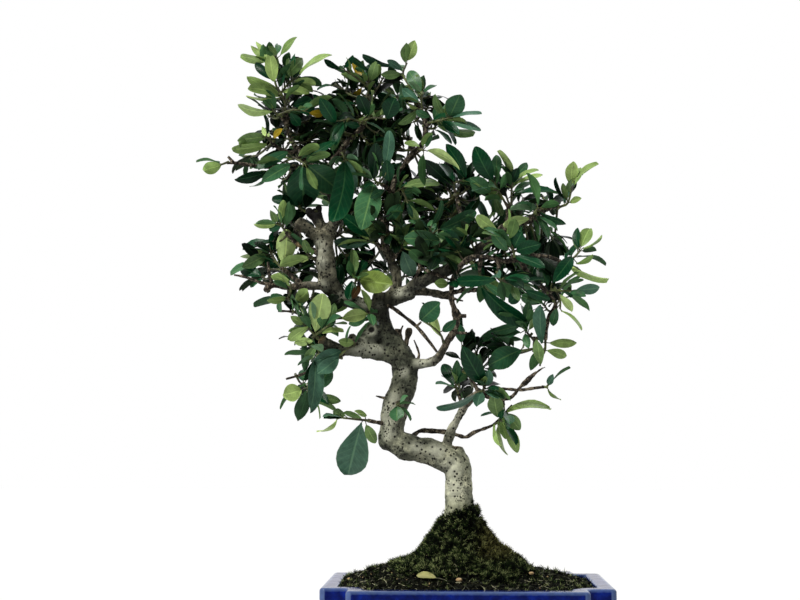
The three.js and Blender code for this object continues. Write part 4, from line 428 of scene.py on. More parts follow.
# The leafy shoots, each a CAD node: (name, seed, leaves of its own growth, shoots as lists of
# (u, v, y), leaves that show as (u, v of the foot, u, v of the tip, width on the sheet, tone))
LEAFY_SHOOTS = [
    ("crown_left", 7401, 1,
     [[(285, 102.5, 0), (281.5, 94, -2), (276, 85, -4), (273.5, 72, -6), (274, 60, -8)],
      [(281, 93, -2), (288, 84, 2), (298, 77, 6)]],
     [(274, 83, 270, 53, 13, "T"), (280, 56, 296, 37, 8, "P"), (275, 54, 256, 43, 6, "L"),
      (270, 56, 251, 47, 7, "L"), (270, 58, 240, 56, 8, "P"), (276, 55, 268, 46, 6, "O"),
      (277, 55, 278, 43, 7, "M"), (272, 80, 255, 63, 9, "D"), (277, 87, 247, 78, 11, "P"),
      (280, 97, 248, 88, 10, "P"), (280, 98, 246, 96, 4, "P"), (283, 93, 310, 92, 8, "P"),
      (285, 78, 304, 58, 12, "O"), (300, 75, 330, 53, 6, "P")]),
    ("crown_left_low", 6102, 1,
     [[(279, 115, -5), (274, 111.5, -8)],
      [(279.5, 114.5, -5.5), (292, 110, -9), (305, 111, -9)]],
     [(273, 111, 236, 108, 10, "P"), (292, 106, 312, 99, 12, "D"), (300, 112, 315, 104, 13, "D"),
      (309, 113, 323, 113, 8, "Y"), (290, 112, 300, 126, 10, "D")]),
    ("left_upper", 2803, 1,
     [[(269.5, 139.4, -7), (266, 136, -9)]],
     [(270, 137, 262, 128, 6, "L"), (265, 137, 238, 140, 12, "O"), (267, 144, 232, 150, 9, "P"),
      (274, 138, 282, 129, 6, "Y")]),
    ("far_left", 1104, 1,
     [[(225.5, 163, -32.5), (220, 165, -34)]],
     [(222, 165, 203, 171, 13, "L")]),
    ("left_heart", 5105, 1,
     [[(296.4, 158, -15.2), (288, 160, -18), (278, 166, -22), (269, 170, -24)],
      [(295.5, 158.5, -16), (300, 161, -19), (305, 164, -21)]],
     [(268, 171, 236, 181, 11, "D"), (290, 165, 262, 181, 13, "M"), (268, 176, 250, 188, 4, "M"),
      # the two broad leaves at the end are dark leaves given the lighter M tone, as painted light where they
      # lie in shade
      (288, 152, 256, 168, 12, "M"), (310, 157, 336, 140, 9, "D"), (300, 163, 303, 207, 34, "M"),
      (308, 165, 338, 190, 26, "M")]),
    ("left_middle", 3706, 1,
     [[(284.8, 230.5, -25.6), (280, 224, -27)]],
     [(280, 220, 284, 200, 9, "L"), (276, 222, 271, 211, 7, "O"), (275, 224, 254, 225, 5, "P"),
      (282, 225, 269, 230, 7, "D")]),
    ("left_low", 7807, 1,
     [[(280.6, 266.6, -11.6), (275, 261, -10), (271, 253, -8.4), (270, 245, -7.4)]],
     [(284, 264, 287, 229, 20, "L"), (271, 243, 254, 244, 5, "O"), (270, 248, 240, 257, 8, "P"),
      (266, 255, 242, 267, 12, "O")]),
    ("left_limb", 8, 0,
     [[(313.3, 259, -18), (309, 256, -22)]],
     [(311, 259, 299, 258, 8, "T"), (309, 254, 303, 240, 8, "O")]),
    ("left_arm", 4509, 1,
     [[(289, 296, -24.5), (287, 300, -27)],
      [(288.5, 297, -26), (291, 290, -33), (290.5, 282, -33)]],
     [(286, 299, 267, 300, 8, "P"), (281, 299, 280, 312, 6, "M"), (295, 302, 308, 291, 14, "L"),
      (290, 281, 271, 276, 9, "L")]),
    ("left_face", 210, 1,
     [[(315.8, 336.4, -36), (311, 331, -38), (304, 325, -39)],
      [(315, 335.5, -37), (324, 329, -40), (330, 324, -40)]],
     [(315, 333, 323, 293, 22, "L"), (309, 326, 288, 341, 11, "P"), (313, 341, 294, 343, 9, "L"),
      (322, 334, 344, 330, 5, "P"), (303, 324, 291, 316, 8, "P"), (330, 322, 335, 303, 8, "O")]),
    ("centre_left", 3711, 0,
     [[(370.5, 315, -9), (369, 313.5, -13)]],
     [(368, 314, 342, 318, 13, "T"), (370, 316, 349, 324, 10, "M")]),
    ("lower_left_fan", 6112, 1,
     [[(339, 357.6, -28), (330, 356, -31), (320, 354, -33), (316, 357, -34)],
      [(338, 357.4, -29), (346, 350, -33), (356, 345, -31)]],
     [(341, 351, 314, 362, 14, "G"), (340, 356, 318, 373, 15, "G"), (316, 346, 305, 361, 9, "O"),
      (315, 360, 312, 412, 18, "G"), (355, 343, 339, 341, 9, "P")]),
    ("lower_left_end", 413, 2,
     [[(309.3, 380.5, -21), (308, 387, -22), (309, 392, -23)]],
     [(316, 390, 330, 370, 17, "M"), (301, 390, 283, 395, 18, "T"), (317, 397, 341, 401, 10, "O")]),
    ("trunk_left", 6514, 0,
     [[(366.5, 420.3, -21), (358, 419.5, -25), (349, 418.5, -28), (343, 418, -29)]],
     [(362, 421, 347.5, 476, 33, "G"), (346, 416, 333, 413, 11, "O"), (337, 419, 317, 433, 6, "P"),
      (366, 416, 355, 411, 6, "P"), (366, 425, 376, 443, 11, "O")]),
    ("trunk_face", 15, 0,
     [[(397.5, 403.6, -18), (397, 405, -20.5)]],
     [(397, 404, 397, 421, 15, "M"), (400, 403, 407, 396, 5, "M")]),
    ("heart_left", 5516, 1,
     [[(355, 283.5, -14.6), (356, 278, -16.5)]],
     [(352, 276, 353, 249, 10, "O"), (352, 281, 348, 300, 12, "D"), (360, 279, 391, 284, 23, "H"),
      (360, 286, 352, 298, 8, "B")]),
    ("heart_upper", 1217, 1,
     [[(375.4, 243.5, -1), (370, 241, -4)]],
     [(368, 241, 333, 243, 12, "G"), (370, 238, 341, 215, 14, "D"), (372, 239, 372, 222, 9, "L")]),
    ("heart_right", 118, 2,
     [[(399.8, 249.6, -5), (401, 246.5, -8)]],
     [(402, 250, 413, 276, 16, "G")]),
    ("centre_right", 319, 2,
     [[(434.4, 252, -18.5), (440, 246, -21)],
      [(435.5, 251, -19), (433, 240, -20), (430, 228, -20)]],
     [(440, 241, 404, 238, 18, "M"), (441, 247, 437, 264, 13, "G"), (440, 229, 476, 211, 14, "M"),
      (432, 225, 443, 201, 6, "M"), (427, 226, 408, 221, 4, "M")]),
    ("centre_low", 120, 1,
     [[(447.5, 278.5, -20.4), (452, 281, -22)]],
     [(448, 284, 435, 283, 10, "P")]),
    ("right_face", 6421, 1,
     [[(442.6, 339.8, -29), (440, 334, -32), (431, 326, -33), (423, 321, -33)]],
     [(441, 337, 429, 309, 10, "L"), (443, 331, 456, 320, 9, "M"), (421, 320, 440, 303, 20, "M")]),
    ("top_left_inner", 1322, 2,
     [[(343, 155, -1.2), (345, 159, -4)]],
     [(345, 162, 333, 222, 20, "D"), (347, 160, 355, 190, 12, "G")]),
    ("top_centre", 823, 2,
     [[(361.6, 122.6, 2.2), (352, 119, -1), (340, 121, -3)],
      [(361, 122.4, 1.8), (371, 118, -4), (383, 118.5, -6)]],
     [(335, 122, 320, 98, 14, "D"), (352, 112, 334, 127, 7, "D"), (360, 126, 347, 124, 7, "D"),
      # the small O leaf takes a lighter tone than its own, as painted light where other leaves shade it
      (368, 117, 359, 95, 13, "D"), (377, 120, 370, 90, 5, "O"), (387, 119, 395, 98, 18, "D")]),
    ("top_left", 2824, 2,
     [[(368.1, 93.4, 19.2), (368.5, 85, 19), (368, 77, 18)],
      [(368.3, 88, 19), (357, 78, 14), (344, 70, 10)]],
     [(366, 76, 351, 60, 8, "Y"), (364, 82, 346, 73, 8, "O"), (371, 80, 376, 62, 10, "O"),
      (341, 69, 324, 59, 7, "D"), (343, 68, 353, 55, 5, "D"), (370, 70, 352, 57, 5, "M"),
      (362, 87, 354, 96, 6, "Y")]),
    ("top_right", 4825, 1,
     [[(408.4, 84.4, 18.3), (403, 74, 20), (407, 63, 21)]],
     [(400, 74, 381, 75, 9, "O"), (402, 70, 388, 60, 7, "G"), (407, 60, 415, 41, 12, "P"),
      (397, 65, 362, 56, 5, "G")]),
    ("crown", 626, 1,
     [[(422.6, 111.4, 8), (421.5, 102, 6), (422, 94, 4)]],
     [(421, 92, 408, 70, 14, "M"), (420, 103, 401, 89, 10, "G"), (424, 92, 437, 84, 5, "M"),
      (418, 108, 406, 103, 5, "T"), (417, 111, 398, 124, 8, "O")]),
    ("crown_right", 4827, 1,
     [[(431.2, 122.4, 2.4), (440, 120.5, -1), (449, 118, -4)]],
     [(450, 116, 460, 95, 20, "M"), (445, 117, 434, 95, 7, "O"), (434, 119, 440, 106, 9, "M"),
      (452, 118, 482, 114, 4, "G"), (448, 123, 481, 130, 6, "G"), (438, 125, 475, 134, 7, "O"),
      (430, 117, 416, 111, 8, "M")]),
    ("crown_low", 7028, 2,
     [[(420.6, 149.7, -3.2), (424, 150.5, -7)]],
     [(420, 147, 404, 142, 6, "P"), (427, 151, 461, 169, 10, "L"), (426, 147, 432, 134, 6, "M")]),
    ("upper_heart", 3229, 1,
     [[(380, 183.2, -5), (375, 181, -8)],
      [(379, 182.8, -5.6), (385, 175, -12), (386, 168, -14)]],
     [(373, 179, 376, 143, 14, "D"), (374, 184, 362, 228, 26, "M"), (385, 165, 390, 130, 12, "G"),
      (389, 181, 387, 160, 14, "D"), (384, 190, 371, 197, 8, "M")]),
    ("upper_right", 2930, 2,
     [[(397.1, 192.2, -4), (401, 189, -7), (405, 196, -9), (407, 202, -9)]],
     [(404, 187, 440, 184, 9, "O"), (401, 194, 414, 192, 10, "M"), (409, 204, 418, 222, 9, "O"),
      (401, 204, 388, 220, 12, "M")]),
    ("right_inner", 3631, 2,
     [[(454.7, 188.4, 10.2), (455, 183, 9), (462, 180, 7)]],
     [(449, 183, 424, 160, 12, "D"), (465, 178, 446, 144, 14, "D")]),
    ("right_upper", 2032, 1,
     [[(504.6, 201.6, 5.4), (499, 192, 3), (494, 184, 1)]],
     [(492, 180, 475, 147, 19, "D"), (496, 178, 497, 154, 11, "M"), (490, 192, 470, 178, 16, "M"),
      (495, 198, 503, 216, 8, "O")]),
    ("right_crown", 4233, 1,
     [[(511.4, 201.4, 7.6), (511.5, 190, 9), (513, 180, 10)]],
     [(511, 177, 498, 150, 7, "L"), (508, 187, 493, 163, 6, "M"), (514, 177, 528, 163, 9, "M"),
      (517, 179, 538, 169, 5, "P"), (517, 184, 543, 175, 6, "P"), (514, 192, 533, 181, 7, "M"),
      (514, 196, 558, 193, 8, "D")]),
    ("right_face_upper", 3934, 1,
     [[(538.2, 210.2, -10), (538, 208, -13), (532, 216, -15)]],
     [(535, 207, 517, 205, 9, "M"), (541, 212, 566, 226, 8, "M"), (537, 217, 558, 229, 5, "M"),
      (530, 219, 502, 225, 10, "L")]),
    ("right_end_upper", 4435, 2,
     [[(561.5, 206.3, 5.3), (567, 204, 6), (570, 196, 6), (571.5, 188, 5)]],
     [(571, 185, 573, 162, 13, "T"), (574, 186, 580, 167, 9, "P"), (574, 182, 598, 163, 4, "P"),
      (565, 198, 555, 178, 5, "D"), (567, 200, 563, 183, 6, "O"), (569, 203, 581, 198, 6, "P")]),
    ("right_heart", 236, 2,
     [[(513.7, 253.6, -40.5), (512, 246, -42), (503, 236, -43)]],
     [(500, 233, 475, 216, 12, "L"), (507, 250, 492, 232, 12, "M"), (515, 257, 545, 268, 10, "D"),
      (513, 249, 522, 232, 16, "D"), (516, 251, 541, 244, 14, "D")]),
    ("right_end", 3537, 2,
     [[(562.5, 262.2, -38), (572, 259, -38), (580, 251, -38)]],
     [(581, 247, 590, 228, 13, "P"), (583, 248, 602, 235, 4, "P"), (576, 263, 593, 255, 5, "P"),
      (571, 265, 609, 279, 5, "P"), (573, 256, 554, 281, 14, "D")]),
    ("right_low", 4938, 2,
     [[(554.3, 290, -31), (563, 291, -33), (573, 291, -34)],
      [(556, 290.3, -31.5), (560, 300, -36), (560, 309, -37)]],
     [(576, 290, 600, 288, 11, "G"), (570, 293, 586, 296, 6, "M"), (557, 294, 572, 312, 8, "L"),
      (561, 311, 582, 330, 4, "P"), (557, 308, 552, 326, 9, "M")]),
    ("right_drooping", 3839, 1,
     [[(498, 274.6, -44.8), (500, 279, -46), (511, 284, -47), (522, 288, -47)]],
     [(497, 279, 455, 281, 13, "D"), (503, 277, 541, 284, 9, "D"), (521, 290, 510, 303, 12, "D"),
      (525, 290, 550, 300, 9, "D")]),
    ("right_long", 340, 2,
     [[(479.5, 273.6, -27.6), (480, 283, -26)]],
     [(482, 286, 527, 325, 19, "D")]),
    ("right_lower_end", 1041, 1,
     [[(545.4, 341.6, -18), (545, 350, -20), (541, 359, -23), (540, 366, -25)]],
     [(543, 344, 540, 305, 13, "G"), (549, 343, 576, 343, 10, "L"), (546, 350, 567, 357, 10, "P"),
      (541, 366, 537, 340, 11, "O")]),
    ("right_cluster", 5542, 1,
     [[(531.5, 337.3, -7.6), (526, 331, -8), (523, 324, -9)],
      [(530, 336, -7.8), (525, 342, -9), (523, 348, -10)]],
     [(526, 320, 529, 302, 10, "M"), (520, 325, 493, 332, 10, "M"), (521, 333, 479, 345, 15, "M"),
      (525, 334, 529, 347, 8, "M"), (521, 350, 489, 365, 22, "M")]),
    ("low_right_upper", 3243, 1,
     [[(482.3, 390.5, -27), (485, 387, -30)]],
     [(484, 384, 463, 348, 19, "D"), (487, 386, 489, 370, 11, "G"), (481, 393, 477, 406, 12, "G"),
      (477, 393, 438, 411, 6, "G")]),
    ("low_right_small", 1144, 1,
     [[(457, 389.5, -9.8), (455.5, 384, -10)]],
     [(454, 386, 442, 363, 12, "D"), (456, 380, 457, 360, 8, "M")]),
    ("low_right_end", 245, 1,
     [[(545.4, 387, -33), (548, 387.3, -34)]],
     [(548, 385, 553, 374, 7, "G"), (548, 389, 561, 400, 4, "P")]),
    ("low_right", 846, 1,
     [[(503.6, 406.5, -22.4), (504, 413, -24), (500, 420, -25)]],
     [(507, 413, 551, 409, 9, "P"), (507, 414, 520, 430, 13, "O"), (502, 422, 519, 453, 12, "P"),
      (499, 424, 506, 456, 7, "P"), (495, 424, 500, 446, 5, "P"), (498, 417, 494, 395, 16, "O")]),
    ("back_crown", 4947, 12,
     [[(364.3, 188.2, 61.5), (358, 178, 68), (350, 165, 72), (345, 150, 74)]],
     []),
    ("back_left", 448, 12,
     [[(342.2, 220.4, 61.5), (338, 208, 70), (328, 196, 76), (316, 190, 80)]],
     []),
    ("back_right", 7849, 13,
     [[(480.8, 243.4, 63.5), (486, 232, 72), (494, 220, 78), (504, 212, 82)]],
     []),
    ("back_top", 950, 11,
     [[(407.7, 133.4, 46.5), (404, 120, 54), (400, 107, 58), (398, 96, 60)]],
     []),
    ("back_low", 5451, 11,
     [[(496.4, 290, 59.5), (508, 287, 66), (520, 281, 70), (530, 272, 72)]],
     []),
]

# Materials

# A bare material, and the helper that adds nodes to it
def new_material(name):
    made = bpy.data.materials.new(name)
    made.use_nodes = True
    made.node_tree.nodes.clear()
    return made, partial(node, made.node_tree)


# The last nodes of a material: its relief, `depth` millimetres deep at full strength, and its skin
def close_material(add, colour, roughness, gloss=0.5, relief=None, strength=1.0, depth=0.0, invert=False):
    bump = relief and add(BUMP, {
        "Strength": strength, "Distance": depth * MM, "Height": relief}, invert=invert)
    add(OUTPUT, {"Surface": add(SKIN, {
        "Base Color": colour, "Roughness": roughness, "Specular IOR Level": gloss, "Normal": bump})})


# Firethorn bark: smooth, cream at the foot and grey above, with dark patches, short cracks and black
# corky dots. Thin wood is dark brown, cut ends are tan, and the foot is stained green by the moss.
# Light and shade are painted into it too: pale where it is lit, darker under the crown and on its undersides.
def bark_material():
    made, add = new_material("firethorn_bark")
    place = add(PLACE, out="Object")
    girth, cut, char, pale, dark = (
        add(ATTRIBUTE, out="Fac", attribute_name=name) for name in ("girth", "cut", "char", "pale", "dark"))
    down = add(SPLIT, [add("ShaderNodeNewGeometry", out="Normal")], out="Z")
    height = add(SPLIT, [place], out="Z")
    patch = add(NOISE, {"Vector": place, "Scale": every(14), "Detail": 5.0, "Roughness": 0.66,
                        "Distortion": 0.8})
    colour = add(RAMP, [patch], stops=[
        (0.34, "#4A4D43"), (0.43, "#85887A"), (0.51, "#AEB09E"), (0.60, "#CBCBB6"), (0.72, "#DEDDC8")])
    fleck = add(NOISE, {"Vector": place, "Scale": every(3.2), "Detail": 4.0, "Roughness": 0.75})
    shade = add(RANGE, [fleck, 0.36, 0.64, 0.5, 1.25])
    # by height: palest at the foot, darkest at the turn under the crown, partly as painted shade of the
    # crown, grey again on the limbs
    rise = add(RANGE, [height, 0.12, 0.36, 0.0, 1.0])
    height_tone_and_crown_shade = add(RAMP, [rise], stops=[
        (0.12, "#FFFFF2"), (0.26, "#D6D6CC"), (0.46, "#ABADA4"), (0.60, "#7F837A"), (0.72, "#75746C"),
        (0.80, "#B9B4AA"), (0.95, "#9A958C")])
    for shading in (shade, height_tone_and_crown_shade):
        colour = add(MIX, [1.0, colour, shading], data_type="RGBA", blend_type="MULTIPLY")
    # short upright cracks, above the foot
    tall = add(VECTOR_MATH, [place, (1.0, 1.0, 0.2)], operation="MULTIPLY")
    crack = add(NOISE, {"Vector": tall, "Scale": every(2.6), "Detail": 3.0})
    crack = add(RANGE, [crack, 0.58, 0.66, 0.0, 0.85])
    above = add(RANGE, [height, 0.22, 0.30, 0.0, 1.0])
    crack = add(MATH, [crack, above], operation="MULTIPLY")
    # corky dots of 1.5 mm, and clusters of smaller ones
    dots, small = (
        add(RANGE, [add("ShaderNodeTexVoronoi", {"Vector": place, "Scale": every(apart)}), *span])
        for apart, span in ((3.6, (0.20, 0.29, 0.95, 0.0)), (1.9, (0.24, 0.36, 0.9, 0.0))))
    some = add(NOISE, {"Vector": place, "Scale": every(11), "Detail": 1.0})
    some = add(RANGE, [some, 0.54, 0.60, 0.0, 1.0])
    small = add(MATH, [small, some], operation="MULTIPLY")
    dots = add(MATH, [dots, small], operation="MAXIMUM")
    # the moss's stain
    stain = add(RANGE, [height, 0.110, 0.140, 0.85, 0.0])
    stain = add(MATH, [stain, fleck], operation="MULTIPLY")
    rings = add(NOISE, {"Vector": place, "Scale": every(2.5), "Detail": 2.0})
    # each with how much of it lies over the ones before
    for share, coat in (
        # painted light on the sides of trunk and limbs that face the light, then dark dead wood and painted
        # shade under the crown
        (add(MATH, [pale, 0.55], operation="MULTIPLY"), to_linear("#D8D9C4")),
        (add(MATH, [dark, 0.8], operation="MULTIPLY"), to_linear("#1C1E19")),
        # shaded undersides
        (add(RANGE, [down, -0.9, 0.25, 0.7, 0.0]), to_linear("#2E3029")),
        # thin wood
        (add(RANGE, [girth, 4.2 * MM, 2.4 * MM, 0.0, 1.0]), add(RAMP, [fleck], stops=[
            (0.36, "#14110E"), (0.48, "#332D26"), (0.57, "#6A6052"), (0.68, "#A39882")])),
        (crack, to_linear("#1B1A16")),
        (dots, to_linear("#14130F")),
        (stain, to_linear("#3B4A20")),
        # cut and dead wood
        (cut, add(RAMP, [rings], stops=[(0.3, "#5E4A30"), (0.5, "#8F7A58"), (0.7, "#BFA880")])),
        (char, to_linear("#0D0B09")),
    ):
        colour = add(MIX, [share, colour, coat], data_type="RGBA")
    rough = add(NOISE, {"Vector": place, "Scale": every(1.4), "Detail": 4.0, "Roughness": 0.7})
    pits = add(MATH, [dots, crack], operation="MAXIMUM")
    pits = add(MATH, [rough, pits], operation="SUBTRACT")
    close_material(add, colour, 0.85, 0.25, pits, 1.0, 0.7)
    return made


# A firethorn leaf: leathery, waxy and dark above with a paler midrib, matt and pale beneath
def leaf_material():
    made, add = new_material("firethorn_leaf")
    place = add(PLACE, out="Object")
    tone, beneath = (
        add(ATTRIBUTE, out="Color", attribute_name=name) for name in ("leaf_colour", "leaf_beneath"))
    along, across, under = (
        add(ATTRIBUTE, out="Fac", attribute_name=name) for name in ("along", "across", "under"))
    side = add(MATH, [across], operation="ABSOLUTE")
    # blotches, some 5 mm wide
    blotch = add(NOISE, {"Vector": place, "Scale": every(6), "Detail": 3.0, "Roughness": 0.6})
    shade = add(RANGE, [blotch, 0.3, 0.7, 0.72, 1.22])
    # side veins run out from the midrib towards the tip, some 3 mm apart
    slant = add(MATH, [side, -0.22, along], operation="MULTIPLY_ADD")
    wave = add(MATH, [slant, 50.0], operation="MULTIPLY")
    wave = add(MATH, [wave], operation="SINE")
    veins = add(RANGE, [wave, 0.72, 1.0, 0.0, 0.22])
    rib = add(RANGE, [side, 0.03, 0.10, 0.75, 0.0])
    edge = add(RANGE, [side, 0.88, 1.0, 0.0, 0.35])
    light = add(MIX, [0.5, tone, beneath], data_type="RGBA")
    light, light_rib, top, pale = (
        add(MIX, [1.0, *pair], data_type="RGBA", blend_type="MULTIPLY") for pair in (
            (light, (1.5, 1.5, 1.5, 1.0)), (beneath, (1.6, 1.55, 1.4, 1.0)), (tone, shade), (beneath, shade)))
    for share in (veins, rib, edge):
        top = add(MIX, [share, top, light], data_type="RGBA")
    # the underside is greyer and paler, with a raised midrib
    pale = add(MIX, [rib, pale, light_rib], data_type="RGBA")
    colour = add(MIX, [under, top, pale], data_type="RGBA")
    roughness = add(RANGE, [under, 0.0, 1.0, 0.34, 0.68])
    relief = add(MATH, [veins, rib], operation="ADD")
    close_material(add, colour, roughness, 0.15, relief, 0.5, 0.3, invert=True)
    return made


# Cobalt glaze over stoneware: deep glossy blue, mottled, and paler on edges, partly where it runs thin and
# partly as a painted highlight
def glaze_material():
    made, add = new_material("cobalt_glaze")
    place = add(PLACE, out="Object")
    thin_glaze_and_highlight = add(ATTRIBUTE, out="Fac", attribute_name="thin_glaze_and_highlight")
    mottle = add(NOISE, {"Vector": place, "Scale": every(7), "Detail": 4.0, "Roughness": 0.6,
                         "Distortion": 0.4})
    colour = add(RAMP, [mottle], stops=[(0.3, "#000A42"), (0.5, "#01125C"), (0.7, "#04207C")])
    # paler on edges: thin glaze, and a painted highlight
    pale_glaze_and_highlight = add(NOISE, {"Vector": place, "Scale": every(3), "Detail": 2.0})
    pale_glaze_and_highlight = add(MATH, [pale_glaze_and_highlight, 0.25, thin_glaze_and_highlight], operation="MULTIPLY_ADD")
    pale_glaze_and_highlight = add(RANGE, [pale_glaze_and_highlight, 0.40, 1.15, 0.0, 0.8])
    colour = add(MIX, [pale_glaze_and_highlight, colour, to_linear("#6E86B0")], data_type="RGBA")
    waves = add(NOISE, {"Vector": place, "Scale": every(12), "Detail": 2.0})
    close_material(add, colour, 0.09, 0.07, waves, 0.35, 0.8)
    return made


# Akadama-like crumb gone dark with water and rot: near black, a little brown
def soil_material():
    made, add = new_material("damp_potting_soil")
    shade = add(ATTRIBUTE, out="Fac", attribute_name="shade")
    clod = add(NOISE, {
        "Vector": add(PLACE, out="Object"), "Scale": every(2.2), "Detail": 4.0, "Roughness": 0.7})
    both = add(MATH, [shade, 0.30, clod], operation="MULTIPLY_ADD")
    colour = add(RAMP, [both], stops=[
        (0.35, "#020302"), (0.55, "#080906"), (0.70, "#12130D"), (0.80, "#23241A"), (0.90, "#4A4A38")])
    close_material(add, colour, 0.92, 0.08, clod, 1.0, 0.8)
    return made


# Cushion moss: deep green, olive-yellow where its tips are dry, with painted shade between its stems
def moss_material():
    made, add = new_material("cushion_moss")
    shade, dry, high = (
        add(ATTRIBUTE, out="Fac", attribute_name=name) for name in ("shade", "dry", "high"))
    patch = add(NOISE, {"Vector": add(PLACE, out="Object"), "Scale": every(5), "Detail": 4.0})
    both = add(MATH, [shade, 0.55, patch], operation="MULTIPLY_ADD")
    colour = add(RAMP, [both], stops=[
        (0.50, "#010301"), (0.72, "#071005"), (0.86, "#16280C"), (0.95, "#465E2C"), (1.00, "#9CA870")])
    olive = add(RAMP, [both], stops=[(0.4, "#0E1006"), (0.7, "#3A3A18"), (0.95, "#A8A060")])
    colour = add(MIX, [dry, colour, olive], data_type="RGBA")
    # painted shade, dark at the feet of the stems and between them, lifting to lighter at their tips
    depth = add(RANGE, [high, 0.15, 1.0, 0.04, 1.30])
    colour = add(MIX, [1.0, colour, depth], data_type="RGBA", blend_type="MULTIPLY")
    close_material(add, colour, 0.9, 0.08, patch, 0.8, 0.6)
    return made


# Straw and small roots in the soil: dry, tan
def straw_material():
    made, add = new_material("dry_straw")
    colour = add(RAMP, [add(ATTRIBUTE, out="Fac", attribute_name="shade")], stops=[
        (0.0, "#12150D"), (0.45, "#2C3322"), (0.7, "#6E7058"), (1.0, "#C8C4A0")])
    close_material(add, colour, 0.7)
    return made


# A finish with one grain, `size` millimetres wide, from its dark to its light colour
def grainy_material(name, size, detail, colours, roughness, strength=0.0, depth=0.0):
    made, add = new_material(name)
    grain = add(NOISE, {"Vector": add(PLACE, out="Object"), "Scale": every(size), "Detail": detail})
    colour = add(RAMP, [grain], stops=list(zip((0.3, 0.5, 0.7), colours)))
    close_material(add, colour, roughness, relief=grain if strength else None, strength=strength, depth=depth)
    return made


BARK = bark_material()
LEAF_SKIN = leaf_material()
# green wood, this year's shoots and leaf stalks: olive, red-brown in places, with a slight shine
GREEN_WOOD = grainy_material("firethorn_green_wood", 5, 2.0, ("#2C2416", "#404422", "#66723A"), 0.55)
GLAZE = glaze_material()
# under the pot, where it stood in the kiln: sandy and matt
STONEWARE = grainy_material("bare_stoneware", 1.5, 3.0, ("#6E4A34", "#8C6247", "#A87E5E"), 0.85, 0.4, 0.2)
SOIL = soil_material()
MOSS = moss_material()
STRAW = straw_material()
# river grit of sandstone, worn round: tan, speckled and matt
GRIT = grainy_material("tan_grit", 1.8, 4.0, ("#8A6A44", "#B89B70", "#D8C39A"), 0.8, 0.5, 0.3)

# Meshes, and the trees that grow them

# An object in the scene from points in millimetres
def new_thing(name, points, edges=(), faces=()):
    mesh = bpy.data.meshes.new(name)
    mesh.from_pydata(to_frame(points).tolist(), list(edges), list(faces))
    return new_object(name, mesh)


# Writes one value for each point of a thing
def note(thing, name, kind, values):
    field = {"FLOAT": "value", "INT": "value", "FLOAT_VECTOR": "vector", "FLOAT_COLOR": "color"}[kind]
    attribute = thing.data.attributes.new(name, kind, "POINT")
    attribute.data.foreach_set(field, np.asarray(values).ravel())


# The mesh of a thing with its modifiers worked in, as a new thing. The old one goes.
def worked(thing, name):
    thing.name = "spent"
    graph = bpy.context.evaluated_depsgraph_get()
    shape = thing.evaluated_get(graph)
    mesh = bpy.data.meshes.new_from_object(shape, preserve_all_data_layers=True, depsgraph=graph)
    mesh.name = name
    bpy.data.objects.remove(thing)
    return new_object(name, mesh)


# A solid in one skin of fine squares, `square` millimetres wide, with its edges worn smooth
def worn(thing, name, square, passes):
    remesh = thing.modifiers.new("squares", "REMESH")
    remesh.mode = "VOXEL"
    remesh.voxel_size = square * MM
    smooth = thing.modifiers.new("worn", "SMOOTH")
    smooth.factor = 0.5
    smooth.iterations = passes
    return worked(thing, name)


# A tree with named inputs, each with its first value or the sort of thing it takes, and the helper
# that adds nodes to it
def new_tree(name, wanted):
    tree = bpy.data.node_groups.new(name, "GeometryNodeTree")
    tree.interface.new_socket("Geometry", in_out="INPUT", socket_type="NodeSocketGeometry")
    for label, start in wanted.items():
        sort = {int: "Int", float: "Float"}.get(type(start), start)
        socket = tree.interface.new_socket(label, in_out="INPUT", socket_type="NodeSocket" + sort)
        if sort != start:
            socket.default_value = start
    tree.interface.new_socket("Geometry", in_out="OUTPUT", socket_type="NodeSocketGeometry")
    given = tree.nodes.new("NodeGroupInput").outputs
    return tree, partial(node, tree), {socket.name: socket for socket in given}


def skinned(add, shape, surface):
    shape = add("GeometryNodeSetShadeSmooth", [shape])
    return add("GeometryNodeSetMaterial", {"Geometry": shape, "Material": surface})


# The last nodes of a tree that moves a surface outwards by `rise`
def close_relief(add, given, rise):
    out = add(VECTOR_MATH, {"Vector": add("GeometryNodeInputNormal"), "Scale": rise}, operation="SCALE")
    moved = add("GeometryNodeSetPosition", {"Geometry": given["Geometry"], "Offset": out})
    add("NodeGroupOutput", [skinned(add, moved, given["Surface"])])


# Grows a thing by a tree, with values for the tree's named inputs
def grown(thing, name, tree, values):
    modifier = thing.modifiers.new("growth", "NODES")
    modifier.node_group = tree
    for item in tree.interface.items_tree:
        if item.in_out == "INPUT" and item.name in values:
            modifier[item.identifier] = values[item.name]
    return worked(thing, name)


def points_of(thing):
    points = np.empty(3 * len(thing.data.vertices))
    thing.data.vertices.foreach_get("co", points)
    return points.reshape(-1, 3) / MM - POT_MIDDLE


def place_points(thing, points):
    thing.data.vertices.foreach_set("co", to_frame(points).ravel())
    thing.data.update()


# A copy of a CAD node's mesh with its loose triangles joined up
def copied(node_name, name):
    shape = bmesh.new()
    shape.from_mesh(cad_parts[node_name].data)
    bmesh.ops.remove_doubles(shape, verts=shape.verts, dist=0.001 * MM)
    mesh = bpy.data.meshes.new(name)
    shape.to_mesh(mesh)
    shape.free()
    return new_object(name, mesh)


# A finished piece: it stands for CAD nodes, or for none, which it hides. Its slot is not used.
def finished(piece, slot, *nodes):
    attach(piece, "root")
    if nodes:
        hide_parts(*nodes)

# Wood

